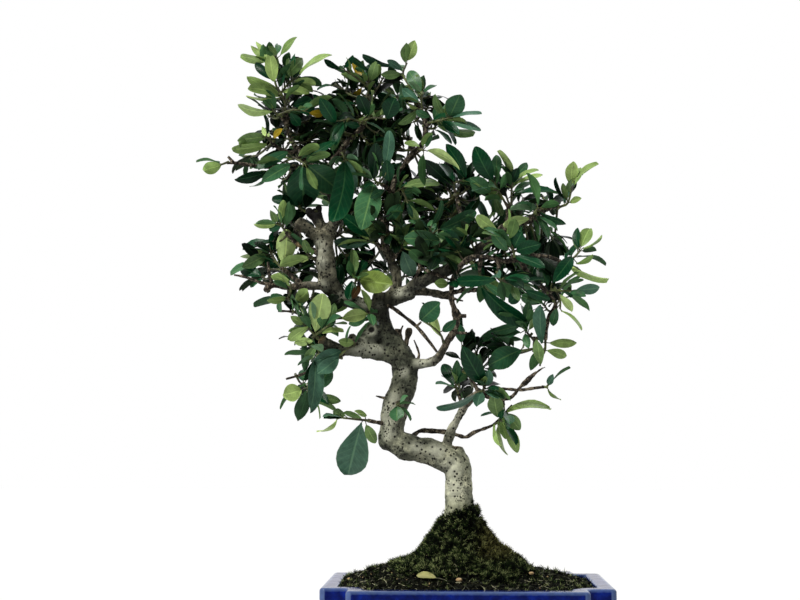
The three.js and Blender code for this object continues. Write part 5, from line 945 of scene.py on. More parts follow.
# A stem along every path of `paths`: round, a little knotty, with closed ends
def stems_in(add, paths, sides, step, knottiness, surface):
    path = add("GeometryNodeMeshToCurve", [paths])
    path = add("GeometryNodeCurveSplineType", [path], spline_type="CATMULL_ROM")
    path = add("GeometryNodeResampleCurve", {"Curve": path, "Length": step}, mode="LENGTH")
    girth = add(FIELD, ["girth"], data_type="FLOAT")
    knots = add(NOISE, {"Scale": every(5), "Detail": 1.0})
    swell = add(MATH, [knots, 0.5], operation="SUBTRACT")
    swell = add(MATH, [swell, knottiness, 1.0], operation="MULTIPLY_ADD")
    reach = add(MATH, [girth, swell], operation="MULTIPLY")
    section = add("GeometryNodeCurvePrimitiveCircle", {"Resolution": sides, "Radius": 1.0})
    return skinned(add, add("GeometryNodeCurveToMesh", {
        "Curve": path, "Profile Curve": section, "Scale": reach, "Fill Caps": True}), surface)


STEM_TREE, add, given = new_tree("stems_along_paths", {
    "Sides": 8, "Step": 1.2 * MM, "Knottiness": 0.0, "Surface": "Material"})
stems = (given[name] for name in ("Geometry", "Sides", "Step", "Knottiness", "Surface"))
add("NodeGroupOutput", [stems_in(add, *stems)])

# Bark over a smooth skin: long lumps where limbs meet, and short wrinkles
BARK_TREE, add, given = new_tree("bark_relief", {
    "Lumps": 1.0 * MM, "Wrinkles": 0.4 * MM, "Surface": "Material"})
lumps = add(NOISE, {"Scale": every(13), "Detail": 1.0})
lumps = add(MATH, [lumps, 0.5], operation="SUBTRACT")
wrinkles = add(NOISE, {"Scale": every(3.4), "Detail": 2.0, "Roughness": 0.6})
wrinkles = add(MATH, [wrinkles, 0.5], operation="SUBTRACT")
wrinkles = add(MATH, [wrinkles, given["Wrinkles"]], operation="MULTIPLY")
close_relief(add, given, add(MATH, [lumps, given["Lumps"], wrinkles], operation="MULTIPLY_ADD"))


# Paths through `courses`, each a list of [point in millimetres, radius in millimetres]
def new_paths(name, courses):
    points, girths, edges = [], [], []
    for course in courses:
        first = len(points)
        points += [point for point, _ in course]
        girths += [radius * MM for _, radius in course]
        edges += [(i, i + 1) for i in range(first, len(points) - 1)]
    paths = new_thing(name, points, edges)
    note(paths, "girth", "FLOAT", girths)
    return paths


# A limb or twig of the sheet as a course of [point, radius] in millimetres
def course_of(limb):
    centres = [seen(u, v, y) for u, v, y, _ in limb]
    return [(c, seen_size(entry[3], c) / 2) for c, entry in zip(centres, limb)]


# Marks on the wood: the cut or broken ends and the dead black stub, each [u, v, y, radius in mm]
CUT_ENDS = [(321, 339.5, -30, 4.2), (452, 297, 10, 3.2), (398.5, 329, 1, 2.6), (409.5, 327, -1, 3),
            (457, 446.5, 0, 4.5), (299, 245, -21, 3)]
CHARRED = [(314, 212, -14, 9.5), (371, 329, -11, 3.2)]
# Swellings that the limbs and their joints have on the outside: (u, v, y, thickness on the sheet)
SWELLINGS = [
    [(382, 322, 0, 18), (371, 334, -4, 18), (362, 343, -9, 14)],
    [(396, 356, -2, 22), (380, 352, -4, 17), (362, 352, -11, 14)],
    [(322, 228, -12, 10), (318, 219, -13, 13), (316, 213, -14, 12)],
    [(318, 220, -13, 8), (310, 213, -15, 9), (308, 209, -15, 6)],
    [(318, 216, -12, 8), (319, 209, -11, 8), (318, 206, -11, 5)],
    [(384, 303, 4, 12), (400, 297, -2, 13), (414, 293, -5, 11)],
    [(408, 364.5, -1, 12), (424, 364, -9, 11), (434, 361.5, -15, 9.5)],
    [(352, 344, -15, 9), (352, 337, -17, 9), (352, 334, -17, 6)],
    [(334, 292, -8, 15), (327, 284, -12, 17), (327, 276, -12, 16)],
    [(318, 240, -15, 13), (324, 238, -13, 18), (330, 230, -11, 14), (335, 220, -9, 13),
     (336, 210, -6, 10)],
]
# Where light is painted on the bark, pale over its own cream, and where it is nearly black: dark dead and
# thin twigs, and painted shade on the wood under the crown
PAINTED_LIGHT_ON_BARK = [(386, 432, -14, 9), (386, 420, -14, 10), (388, 408, -13, 10), (392, 398, -13, 8),
             (450, 470, -12, 13), (452, 488, -12, 13), (436, 449, -14, 11), (418, 446, -14, 8),
             (422, 363, -12, 9), (432, 361, -16, 7), (318, 262, -22, 9), (318, 248, -22, 9),
             (344, 300, -16, 9), (408, 290, -6, 7), (398, 292, -6, 6), (453, 422, -16, 10),
             (460, 412, -18, 8), (310, 285, -19, 9), (322, 286, -16, 7), (364, 304, -8, 8),
             (360, 347, -18, 11), (374, 349, -12, 9), (371, 331, -9, 6), (380, 304, -5, 5),
             (400, 292, -6, 6), (416, 289, -14, 5), (404, 372, -12, 6)]
DARK_WOOD_AND_PAINTED_SHADE = [(386, 312, -2, 14), (394, 330, -2, 8), (382, 304, 0, 10), (420, 284, -13, 16),
             (440, 274, -18, 15), (458, 263, -18, 14), (474, 251, -16, 12), (490, 238, -12, 12),
             (340, 286, -4, 11), (334, 262, -6, 9), (392, 262, 3, 8), (386, 240, 4, 12),
             (386, 220, 5, 12), (391, 198, 6, 12), (330, 196, 0, 12), (316, 172, 3, 14),
             (298, 148, 5, 16), (288, 122, 2, 16), (416, 372, 0, 8), (394, 309, -4, 7),
             (405, 317, -8, 7), (417, 327, -11, 8), (428, 340, -12, 8), (437, 352, -12, 7),
             (432, 431, 15, 7), (444, 432, 17, 7), (456, 435, 19, 7), (467, 436, 20, 7),
             (480, 430, 22, 8), (493, 425, 23, 8), (504, 414, 24, 7), (416, 347, -9, 7),
             (530, 378, -20, 8), (541, 369, -20, 7), (515, 390, -20, 7)]


# How near each point is to a mark: 1 up to the share `inner` of its radius, 0 a little past it
def nearness(points, marks, inner):
    near = np.zeros(len(points))
    for u, v, y, radius in marks:
        away = np.linalg.norm(points - seen(u, v, y), axis=1)
        near = np.maximum(near, 1 - eased(away, inner * radius, 1.15 * radius))
    return near


def mark_wood(wood):
    points = points_of(wood)
    for name, marks, inner in (("cut", CUT_ENDS, 0.75), ("char", CHARRED, 0.75),
                               ("pale", PAINTED_LIGHT_ON_BARK, 0.3), ("dark", DARK_WOOD_AND_PAINTED_SHADE, 0.3)):
        note(wood, name, "FLOAT", nearness(points, marks, inner))


flare = [(np.array([*TRUNK_FOOT, z]), radius) for z, radius in TRUNK_FLARE]
flare.append((seen(*FLARE_TOP[:2], TRUNK_FOOT[1]), FLARE_TOP[2]))
limbs = TRUNK_LIMBS + THICK_LIMBS + SWELLINGS
heavy = new_paths("heavy_wood_paths", [flare] + [course_of(limb) for limb in limbs])
heavy = grown(heavy, "heavy_wood", STEM_TREE, {"Sides": 20, "Step": 1.5 * MM, "Surface": BARK})
girths = np.empty(len(heavy.data.vertices))
heavy.data.attributes["girth"].data.foreach_get("value", girths)
skeleton = KDTree(len(girths))
for i, vertex in enumerate(heavy.data.vertices):
    skeleton.insert(vertex.co, i)
skeleton.balance()
# the limbs run into one skin, and the joints are worn smooth
heavy = worn(heavy, "heavy_wood_skin", square=0.85, passes=5)
near = [skeleton.find(vertex.co)[1] for vertex in heavy.data.vertices]
note(heavy, "girth", "FLOAT", girths[near])
heavy = grown(heavy, "trunk_and_limbs", BARK_TREE, {
    "Lumps": 4.5 * MM, "Wrinkles": 1.5 * MM, "Surface": BARK})
mark_wood(heavy)
finished(heavy, "bark", "trunk_and_branches")

twigs = new_paths("twig_paths", [course_of(twig) for twig in TWIGS])
twigs = grown(twigs, "twigs_and_thorns", STEM_TREE, {
    "Sides": 8, "Step": 1.1 * MM, "Knottiness": 1.1, "Surface": BARK})
mark_wood(twigs)
finished(twigs, "bark", "trunk_and_branches")

# Leaves

# Each outline: (where the blade is widest, how full it is, rows of faces). The last ones are small.
LEAF_OUTLINES = {
    "a_lance": (0.53, 0.80, 11), "b_ellipse": (0.53, 0.60, 11), "c_spoon": (0.60, 0.62, 11),
    "d_small_lance": (0.54, 0.78, 7), "e_small_ellipse": (0.56, 0.62, 7),
}
# Points round a blade's section, from margin to margin and back underneath: (side, height in mm)
LEAF_SECTION = [(-1, 0), (-0.5, 0.15), (0, 0.06), (0.5, 0.15), (1, 0), (0.5, -0.15), (0, -0.34),
                (-0.5, -0.15)]
# How wide the blade is where it meets the stalk, as a share of its full width
STALK_SHARE = 0.07


# One unit long and wide, and as thick as a leaf in millimetres. Its margin is a sharp edge. Both
# sides are split along the same diagonals, so they can't cross where the blade is bent.
def new_leaf_form(name, widest, fullness, rows, home):
    points, along, across = [], [], []
    skew = math.log(0.5) / math.log(widest)
    for row in range(rows):
        t = 0.5 - 0.5 * math.cos(math.pi * row / rows)
        share = max(math.sin(math.pi * t ** skew) ** fullness, STALK_SHARE)
        for side, height in LEAF_SECTION:
            points.append((side * share / 2, t, height * min(1, 3 * share)))
            along.append(t)
            across.append(side)
    count = len(LEAF_SECTION)
    faces, under = [tuple(reversed(range(count)))], [1]
    for row in range(rows - 1):
        for i in range(count):
            a, b = row * count + i, row * count + (i + 1) % count
            below = i >= count // 2
            if below:
                faces += [(a, b, a + count), (b, b + count, a + count)]
            else:
                faces += [(a, b, b + count), (a, b + count, a + count)]
            under += [int(below)] * 2
    last = (rows - 1) * count
    tip = len(points)
    points.append((0, 1, 0))
    along.append(1)
    across.append(0)
    for i in range(count):
        faces.append((last + i, last + (i + 1) % count, tip))
        under.append(int(i >= count // 2))
    mesh = bpy.data.meshes.new(name)
    mesh.from_pydata(points, [], faces)
    shape = bmesh.new()
    shape.from_mesh(mesh)
    bmesh.ops.recalc_face_normals(shape, faces=shape.faces)
    shape.to_mesh(mesh)
    shape.free()
    for edge in mesh.edges:
        first, second = edge.vertices
        edge.use_edge_sharp = abs(across[first]) == 1 and abs(across[second]) == 1
    made = bpy.data.objects.new(name, mesh)
    note(made, "along", "FLOAT", along)
    note(made, "across", "FLOAT", across)
    side = mesh.attributes.new("under", "FLOAT", "FACE")
    side.data.foreach_set("value", under)
    home.objects.link(made)


LEAF_FORMS = bpy.data.collections.new("leaf_forms")
for form, outline in LEAF_OUTLINES.items():
    new_leaf_form("leaf_" + form, *outline, LEAF_FORMS)

# Leaves at the points that have `is_leaf`, each turned, sized, bowed, folded and twisted by its own
# values, and stems along the paths
LEAFY_TREE, add, given = new_tree("leafy_shoot", {
    "Leaf forms": "Collection", "Stalk sides": 5, "Step": 2 * MM, "Leaf": "Material", "Stalk": "Material"})
known = {name: add(FIELD, [name], data_type="FLOAT") for name in (
    "is_leaf", "leaf_width", "leaf_length", "leaf_bow", "leaf_droop", "leaf_fold", "leaf_phase",
    "leaf_twist", "leaf_sway", "along", "across")}
known |= {name: add(FIELD, [name], data_type="FLOAT_VECTOR") for name in (
    "leaf_face", "leaf_axis", "leaf_side")}
turn = add("FunctionNodeAxesToRotation", [known["leaf_face"], known["leaf_axis"]],
           primary_axis="Z", secondary_axis="Y")
blades = add("GeometryNodeInstanceOnPoints", {
    "Points": given["Geometry"], "Selection": known["is_leaf"], "Rotation": turn,
    "Instance": add("GeometryNodeCollectionInfo", [given["Leaf forms"], True, True]),
    "Pick Instance": True, "Instance Index": add(FIELD, ["leaf_form"], data_type="INT"),
    "Scale": add("ShaderNodeCombineXYZ", [known["leaf_width"], known["leaf_length"], MM])})
blades = add("GeometryNodeRealizeInstances", [blades])
# how far each point of a blade stands off its plane (lift) and off its midline (sway)
for result, operation, *terms in (
    ("half", "MULTIPLY", "leaf_width", 0.5),
    ("rest", "SUBTRACT", 1.0, "along"),
    ("bow", "MULTIPLY", "along", 4.0),
    ("bow", "MULTIPLY", "bow", "rest"),
    ("bent", "MULTIPLY", "bow", "leaf_bow"),
    ("bent", "MULTIPLY", "bent", "leaf_length"),
    ("droop", "POWER", "along", 2.5),
    ("droop", "MULTIPLY", "droop", "leaf_droop"),
    ("down", "MULTIPLY", "leaf_length", -1.0),
    ("lift", "MULTIPLY_ADD", "droop", "down", "bent"),
    ("side", "ABSOLUTE", "across"),
    ("fold", "POWER", "side", 1.4),
    ("fold", "MULTIPLY", "fold", "leaf_fold"),
    ("lift", "MULTIPLY_ADD", "fold", "half", "lift"),
    ("ripple", "MULTIPLY_ADD", "along", 9.0, "leaf_phase"),
    ("ripple", "SINE", "ripple"),
    ("margin", "MULTIPLY", "side", "across"),
    ("ripple", "MULTIPLY", "ripple", "margin"),
    ("ripple", "MULTIPLY", "ripple", 0.07),
    ("lift", "MULTIPLY_ADD", "ripple", "half", "lift"),
    ("twist", "MULTIPLY", "across", "along"),
    ("twist", "MULTIPLY", "twist", "leaf_twist"),
    ("lift", "MULTIPLY_ADD", "twist", "half", "lift"),
    ("sway", "MULTIPLY", "bow", "leaf_sway"),
    ("sway", "MULTIPLY", "sway", "leaf_length"),
):
    known[result] = add(MATH, [known.get(term, term) for term in terms], operation=operation)
lift, sway = (
    add(VECTOR_MATH, {"Vector": known[way], "Scale": known[far]}, operation="SCALE")
    for way, far in (("leaf_face", "lift"), ("leaf_side", "sway")))
move = add(VECTOR_MATH, [lift, sway], operation="ADD")
blades = add("GeometryNodeSetPosition", {"Geometry": blades, "Offset": move})
stalks = stems_in(add, given["Geometry"], given["Stalk sides"], given["Step"], 0.3, given["Stalk"])
spray = add("GeometryNodeJoinGeometry", [skinned(add, blades, given["Leaf"])])
LEAFY_TREE.links.new(stalks, spray.node.inputs[0])
add("NodeGroupOutput", [spray])

# The rule that the CAD source lays its leaves by, with the same draws in the same order, in
# millimetres
LEAF = {"stalk": 3, "width_to_length": 0.36, "shortest": 15, "arch": (0.035, 0.105)}
SHOWN_LEAF = {"joint_spread": 7, "joint_margin": 0.12, "foot_scatter": 5, "true_length": (1.02, 1.22),
              "steepest_lean": 1.2}
GROWN_LEAF = {"length": (19, 33),
              "width_to_length": (0.95 * LEAF["width_to_length"], 1.2 * LEAF["width_to_length"]),
              "spread": (0.9, 1.6), "rise": 0.0, "droop": 0.12, "outward_face": 0.5, "twist": 0.8,
              "stalk": LEAF["stalk"], "small": False, "scatter_along": 0.6, "backwards": 0.6}
# Smaller leaves fill a spray, off any of its shoots, inside the CAD's own box
FILLING = {"length": (14, 25), "width_to_length": (0.34, 0.46), "spread": (0.5, 1.9), "rise": 0.15,
           "droop": 0.25, "outward_face": 0.7, "twist": 1.6, "stalk": 2.2, "small": True,
           "for_each": 1.5, "least": 5, "towards_tip": 1.4}
GOLDEN_ANGLE = math.pi * (3 - math.sqrt(5))
BOX_LOW, BOX_HIGH = (np.array(corner) / MM - POT_MIDDLE for corner in CAD_BOX)


# Where on the shoots, as (u, v, y), a leaf joins whose foot shows at (u, v)
def joint_on_shoots(shoots, u, v, back):
    best = (math.inf, 0, 0, 0)
    for shoot in shoots:
        for (u0, v0, y0), (u1, v1, y1) in zip(shoot, shoot[1:]):
            du, dv = u1 - u0, v1 - v0
            along = ((u - u0) * du + (v - v0) * dv) / (du * du + dv * dv)
            margin = SHOWN_LEAF["joint_margin"]
            t = min(max(along - back / math.hypot(du, dv), margin), 1 - margin)
            at = (u0 + t * du, v0 + t * dv, between(y0, y1, t))
            away = math.hypot(u - at[0], v - at[1])
            if away < best[0]:
                best = (away, *at)
    return best[1:]


# A leaf from its place on the sheet. Its tip leans towards the eye or away, and its blade rolls.
def shown_leaf(shoots, leaf, draw):
    foot_u, foot_v, tip_u, tip_v, width, tone = leaf
    joint = joint_on_shoots(shoots, foot_u, foot_v, SHOWN_LEAF["joint_spread"] * draw())
    root = seen(*joint)
    foot = seen(foot_u, foot_v, joint[2] + SHOWN_LEAF["foot_scatter"] * (draw() - 0.5))
    shown = np.linalg.norm(seen(tip_u, tip_v, foot[1]) - foot)
    length = max(shown * between(*SHOWN_LEAF["true_length"], draw()), LEAF["shortest"])
    away = -1 if draw() < 0.5 else 1
    lean = away * min(math.sqrt(length * length - shown * shown), SHOWN_LEAF["steepest_lean"] * shown)
    tip = seen(tip_u, tip_v, foot[1] + lean)
    axis = unit(tip - foot)
    shown_width = seen_size(width, foot)
    full_width = max(shown_width, LEAF["width_to_length"] * length)
    roll = math.acos(shown_width / full_width) * (-1 if draw() < 0.5 else 1)
    face = turned(square_to(EYE - foot, axis), axis, roll)
    if tone == "L":
        face = -face
    return {"root": root, "foot": foot, "tip": tip, "face": face, "width": full_width,
            "arch": between(*LEAF["arch"], draw()), "tone": tone, "small": False}


# A leaf that leaves its shoot at `root`, where the shoot runs `along`, on its side `out`
def leaf_off(root, along, out, habit, draw):
    heading = unit(along + out * between(*habit["spread"], draw()) + UP * habit["rise"])
    length = between(*habit["length"], draw())
    foot = root + heading * habit["stalk"]
    tip = foot + heading * length
    tip[2] -= habit["droop"] * length * draw()
    axis = unit(tip - foot)
    face = square_to(UP + out * habit["outward_face"], axis)
    face = turned(face, axis, habit["twist"] * (draw() - 0.5))
    width = length * between(*habit["width_to_length"], draw())
    return {"root": root, "foot": foot, "tip": tip, "face": face, "width": width,
            "arch": between(*LEAF["arch"], draw()), "tone": "?", "small": habit["small"]}


def grown_leaf(shoots, any_shown, k, count, draw):
    shoot = shoots[0]
    part = (len(shoot) - 1) * (k + 0.5 + GROWN_LEAF["scatter_along"] * (draw() - 0.5)) / count
    start = math.floor(part)
    here, there = np.array(shoot[start], float), np.array(shoot[start + 1], float)
    along = unit(seen(*there) - seen(*here))
    out = turned(square_to(UP, along), along, k * GOLDEN_ANGLE + draw())
    if any_shown:
        out[1] = abs(out[1]) + GROWN_LEAF["backwards"]
    return leaf_off(seen(*(here + (there - here) * (part - start))), along, unit(out), GROWN_LEAF, draw)


def filling_leaf(shoots, draw):
    shoot = shoots[math.floor(draw() * len(shoots))]
    part = (len(shoot) - 1) * (1 - draw() ** FILLING["towards_tip"])
    start = min(math.floor(part), len(shoot) - 2)
    here, there = shoot[start], shoot[start + 1]
    along = unit(there - here)
    out = turned(square_to(UP, along), along, 2 * math.pi * draw())
    return leaf_off(here + (there - here) * (part - start), along, out, FILLING, draw)


# The tones, each between two colours of the upper face and two of the underside. D is dark, M
# middling, O olive, G grey-green, L one that shows its underside, paler as painted light shining
# through it, T this year's, H the one at the crown's fork, P pale, Y yellowing, B dead, F fallen, S
# near black as painted shade deep in the crown.
LEAF_TONES = {
    "S": ("#020B06", "#07200F", "#142412", "#243A1C"), "F": ("#8C8A58", "#A6A46C", "#8C8A58", "#A6A46C"),
    "D": ("#011A0D", "#074527", "#2A4A2E", "#446C3E"), "M": ("#214C32", "#43704A", "#4E6B3D", "#6F8B4D"),
    "O": ("#526F44", "#749056", "#759152", "#99B16A"), "G": ("#385E4C", "#547A64", "#567A5A", "#70926C"),
    "L": ("#466834", "#5C813E", "#8CAA60", "#BCD48A"), "P": ("#6E8B4B", "#97B168", "#8FAB62", "#B3CA78"),
    "T": ("#98B266", "#BCD082", "#AEC674", "#CEE094"),
    "H": ("#627839", "#748840", "#748842", "#8A9E54"), "Y": ("#8C7A1A", "#B0921C", "#958834", "#B4A244"),
    "B": ("#2A2014", "#48301C", "#4A3822", "#6A5030"),
}
# How often each tone comes among the leaves that aren't placed one by one
OWN_TONES = "DDDDDDMMMMOG"
# the leaves inside the crown are mostly S, painted shade
INNER_PAINTED_SHADE_TONES = "SSSSSSDDDM"


def linear_between(low, high, share):
    low, high = np.array(to_linear(low)), np.array(to_linear(high))
    return low + (high - low) * share


# How deep a shoot is sunk in its wood, and its radius at foot and tip, in millimetres
SHOOT = {"rooted": 3.0, "radius": (1.2, 0.75)}
# A stalk's radii, how far its middle is lifted and how far it runs into the blade, in millimetres
STALK = {"radii": (0.5, 0.42, 0.36), "lifted": 0.3, "overlap": 0.8}
# Leaves this many times as long as wide take the lance forms. The others are mostly ellipses.
LANCE_FROM, SMALL_LANCE_FROM, ELLIPSES = 3.0, 2.6, 0.6
# How far each leaf's colour, droop, fold, twist, sway and ripple stray
LIGHTNESS = (0.85, 1.15)
STRAYS = {"leaf_droop": (0.0, 0.10), "leaf_fold": (0.02, 0.34), "leaf_twist": (-0.3, 0.3),
          "leaf_sway": (-0.03, 0.03), "leaf_phase": (0, 6.28)}


# One spray as points and paths: a point for each leaf, a path for each stalk and shoot
def new_spray(name, shoots, leaves, seed):
    chance = np.random.default_rng(seed)
    points, edges, girths, values = [], [], [], []
    blank = dict.fromkeys(("is_leaf", "leaf_length", "leaf_width", "leaf_bow", *STRAYS), 0.0)
    blank |= {"leaf_axis": (0, 1, 0), "leaf_face": (0, 0, 1), "leaf_side": (1, 0, 0), "leaf_form": 0,
              "leaf_colour": (0, 0, 0, 1), "leaf_beneath": (0, 0, 0, 1)}

    def add_path(course):
        first = len(points)
        for point, radius in course:
            points.append(point)
            girths.append(radius * MM)
            values.append(blank)
        edges.extend((i, i + 1) for i in range(first, len(points) - 1))

    for shoot in shoots:
        course = [shoot[0] - unit(shoot[1] - shoot[0]) * SHOOT["rooted"], *shoot]
        last = len(course) - 1
        add_path([(at, between(*SHOOT["radius"], i / last)) for i, at in enumerate(course)])
    for leaf in leaves:
        root, foot, tip = leaf["root"], leaf["foot"], leaf["tip"]
        start = foot + unit(tip - foot) * max(0.0, LEAF["stalk"] - np.linalg.norm(foot - root))
        axis = unit(tip - start)
        face = square_to(leaf["face"], axis)
        length = np.linalg.norm(tip - start)
        middle = (root + start) / 2 + UP * STALK["lifted"]
        add_path(zip((root, middle, start + axis * STALK["overlap"]), STALK["radii"]))
        slender = length / leaf["width"]
        form = 0 if slender > LANCE_FROM else (1 if chance.random() < ELLIPSES else 2)
        if leaf["small"]:
            form = 3 if slender > SMALL_LANCE_FROM else 4
        tone = leaf["tone"] if leaf["tone"] != "?" else OWN_TONES[chance.integers(len(OWN_TONES))]
        share, light = chance.random(), chance.uniform(*LIGHTNESS)
        colour = linear_between(*LEAF_TONES[tone][:2], share) * light
        beneath = linear_between(*LEAF_TONES[tone][2:], share) * light
        points.append(start)
        girths.append(0.0)
        values.append({
            "is_leaf": 1.0, "leaf_axis": axis, "leaf_face": face, "leaf_side": np.cross(axis, face),
            "leaf_length": length * MM, "leaf_width": leaf["width"] * MM, "leaf_bow": leaf["arch"],
            "leaf_form": form, "leaf_colour": (*colour[:3], 1.0), "leaf_beneath": (*beneath[:3], 1.0),
            **{key: chance.uniform(*span) for key, span in STRAYS.items()}})
    spray = new_thing(name, points, edges)
    note(spray, "girth", "FLOAT", girths)
    for key, start in blank.items():
        kind = "INT" if key == "leaf_form" else "FLOAT"
        if isinstance(start, tuple):
            kind = "FLOAT_VECTOR" if len(start) == 3 else "FLOAT_COLOR"
        note(spray, key, kind, np.array([value[key] for value in values]))
    return spray


# Where the crown lets the light through, as ellipses on the sheet: (u, v, half width, half height)
OPEN_SKY = [
    (205, 155, 22, 10), (210, 184, 22, 12), (250, 124, 16, 12), (232, 140, 8, 5), (258, 212, 14, 10),
    (250, 234, 22, 8), (255, 304, 18, 12), (280, 322, 12, 8), (282, 356, 20, 12), (290, 415, 30, 14),
    (330, 440, 24, 22), (352, 48, 14, 10), (390, 48, 14, 10), (425, 60, 14, 14), (312, 72, 10, 6),
    (445, 80, 16, 14), (440, 146, 12, 8), (420, 168, 7, 9), (490, 212, 16, 12), (412, 137, 7, 6),
    (535, 178, 14, 12), (560, 182, 10, 14), (585, 188, 14, 20), (590, 214, 20, 12), (596, 262, 14, 8),
    (596, 242, 12, 8), (590, 315, 24, 16), (566, 310, 16, 12), (520, 368, 22, 16), (565, 376, 26, 24),
    (540, 420, 30, 14), (485, 446, 26, 16), (465, 425, 22, 12), (420, 320, 34, 30), (480, 310, 18, 20),
    (370, 385, 40, 26), (360, 324, 8, 4), (250, 190, 18, 8), (318, 210, 14, 12), (240, 262, 10, 5),
    (444, 340, 12, 10), (570, 340, 14, 4), (440, 410, 12, 12),
]


# Whether a leaf's tip keeps `BOX_MARGIN` millimetres inside the CAD's box
BOX_MARGIN = 1


def in_box(leaf):
    return bool(np.all(leaf["tip"] > BOX_LOW + BOX_MARGIN) and np.all(leaf["tip"] < BOX_HIGH - BOX_MARGIN))


# Whether a leaf would close a gap in the crown, at its middle or its tip
def in_sky(leaf):
    for share in (0.55, 1.0):
        u, v = on_sheet(leaf["foot"] + (leaf["tip"] - leaf["foot"]) * share)
        for middle_u, middle_v, half_u, half_v in OPEN_SKY:
            if math.hypot((u - middle_u) / half_u, (v - middle_v) / half_v) < 1:
                return True
    return False


GROWTH = {"Leaf forms": LEAF_FORMS, "Stalk sides": 5, "Step": 2 * MM, "Leaf": LEAF_SKIN,
          "Stalk": GREEN_WOOD}
for name, seed, more, shoots, shown in LEAFY_SHOOTS:
    draw = draw_from(seed)
    leaves = [shown_leaf(shoots, leaf, draw) for leaf in shown]
    leaves += [grown_leaf(shoots, bool(shown), k, more, draw) for k in range(more)]
    filling = max(FILLING["least"], round(FILLING["for_each"] * len(leaves)))
    courses = [[seen(*at) for at in shoot] for shoot in shoots]
    small = [filling_leaf(courses, draw) for _ in range(filling)]
    leaves += [leaf for leaf in small if in_box(leaf) and not in_sky(leaf)]
    spray = new_spray(name + "_paths", courses, leaves, seed)
    finished(grown(spray, "leaves_" + name, LEAFY_TREE, GROWTH), "foliage", "shoot_" + name)

# Rosettes inside the crown, each on a shoot from the nearest wood, as (u, v, y). Up to `deeper`
# millimetres are added to y, except at the front.
INNER_ROSETTES = {
    "inner_leaves_left": [
        (335, 84, 12), (350, 92, 26), (322, 96, 22), (310, 128, 20), (292, 128, 16), (302, 142, 28),
        (372, 130, 30), (386, 128, 16), (360, 136, 20), (268, 116, 8), (262, 146, 4), (280, 150, 22),
        (244, 156, -8), (330, 118, 26), (345, 112, 30), (396, 150, 18), (300, 100, 14), (376, 96, 26),
        (272, 130, 2), (290, 98, 8), (284, 62, 4), (316, 134, 12), (328, 128, 18), (364, 152, 24),
        (372, 146, 14), (402, 134, 22), (414, 114, 18), (430, 108, 12), (436, 128, 14), (283, 180, -2),
        (300, 178, 10), (292, 74, 6), (352, 76, 14), (384, 76, 12), (392, 118, 22), (318, 156, 18),
        (284, 110, 6), (312, 118, 10), (356, 104, 12), (357, 118, 18), (378, 112, 16), (382, 134, 20),
        (366, 140, 24), (400, 148, 20), (426, 106, 14), (430, 96, 12), (306, 148, 14), (340, 140, 22),
        (286, 138, 4), (334, 162, 20), (350, 164, 24), (300, 160, 16), (336, 128, 24), (324, 112, 14)],
    "inner_leaves_middle": [
        (405, 166, 24), (412, 190, 20), (430, 196, 22), (448, 190, 18), (446, 206, 24), (462, 196, 20),
        (432, 214, 16), (410, 214, 26), (392, 196, 24), (372, 226, 24), (356, 240, 20), (376, 246, 20),
        (366, 262, 16), (394, 236, 20), (420, 228, 16), (346, 256, 8), (346, 230, 14), (392, 222, 24),
        (384, 272, 14), (338, 262, 4), (404, 262, 14), (432, 262, 10), (428, 178, 20), (396, 178, 26),
        (384, 200, 22), (356, 190, 20), (344, 216, 20), (384, 212, 24), (352, 212, 16), (424, 211, 22),
        (446, 218, 18), (462, 178, 18), (400, 246, 18), (447, 258, 8), (446, 172, 16), (408, 204, 26),
        (406, 276, 10), (414, 122, 18), (478, 198, 22)],
    "inner_leaves_front": [
        (442, 254, -30), (456, 246, -30), (430, 262, -26), (470, 238, -28), (384, 216, -8), (388, 234, -8),
        (484, 230, -26), (418, 240, -16)],
    "inner_leaves_right": [
        (450, 236, 18), (466, 226, 20), (486, 244, 12), (500, 248, 16), (528, 228, 10), (540, 246, 6),
        (552, 250, 10), (548, 270, 2), (536, 264, 4), (482, 268, 6), (506, 262, 12), (470, 186, 10),
        (462, 346, -6), (480, 344, -10), (452, 304, -16), (476, 200, 16), (505, 190, 12), (524, 198, 8),
        (546, 200, 6), (452, 216, 22), (470, 214, 18), (552, 284, -6), (544, 304, -8), (500, 350, -8),
        (460, 386, -6), (488, 362, -12), (510, 208, 6), (536, 232, 8), (474, 262, 4), (504, 262, 2),
        (552, 238, 6), (542, 196, 8), (554, 200, 8), (560, 298, -8), (500, 344, -14), (474, 386, -10)],
    "inner_leaves_outer_left": [
        (308, 262, 0), (300, 270, -8), (272, 254, -20), (258, 262, -22), (280, 268, -10), (284, 236, -16),
        (306, 236, -6), (292, 312, -8), (318, 326, -12), (316, 268, -4), (262, 276, -24),
        (318, 350, -26), (304, 384, -20), (300, 340, -20), (330, 312, -6), (290, 222, -10),
        (282, 268, -14), (342, 280, -4), (312, 300, -14), (296, 204, -4), (270, 240, -18)],
}
ROSETTE = {"deeper": 30, "leaves": 10, "sag": 0.12, "shortest": 6}


# Points along the limbs and twigs, from which the inner shoots start
def wood_points():
    points = []
    for limb in THICK_LIMBS + TWIGS:
        for (u0, v0, y0, _), (u1, v1, y1, _) in zip(limb, limb[1:]):
            points += [seen(between(u0, u1, t), between(v0, v1, t), between(y0, y1, t))
                       for t in (0, 0.25, 0.5, 0.75)]
    return np.array(points)


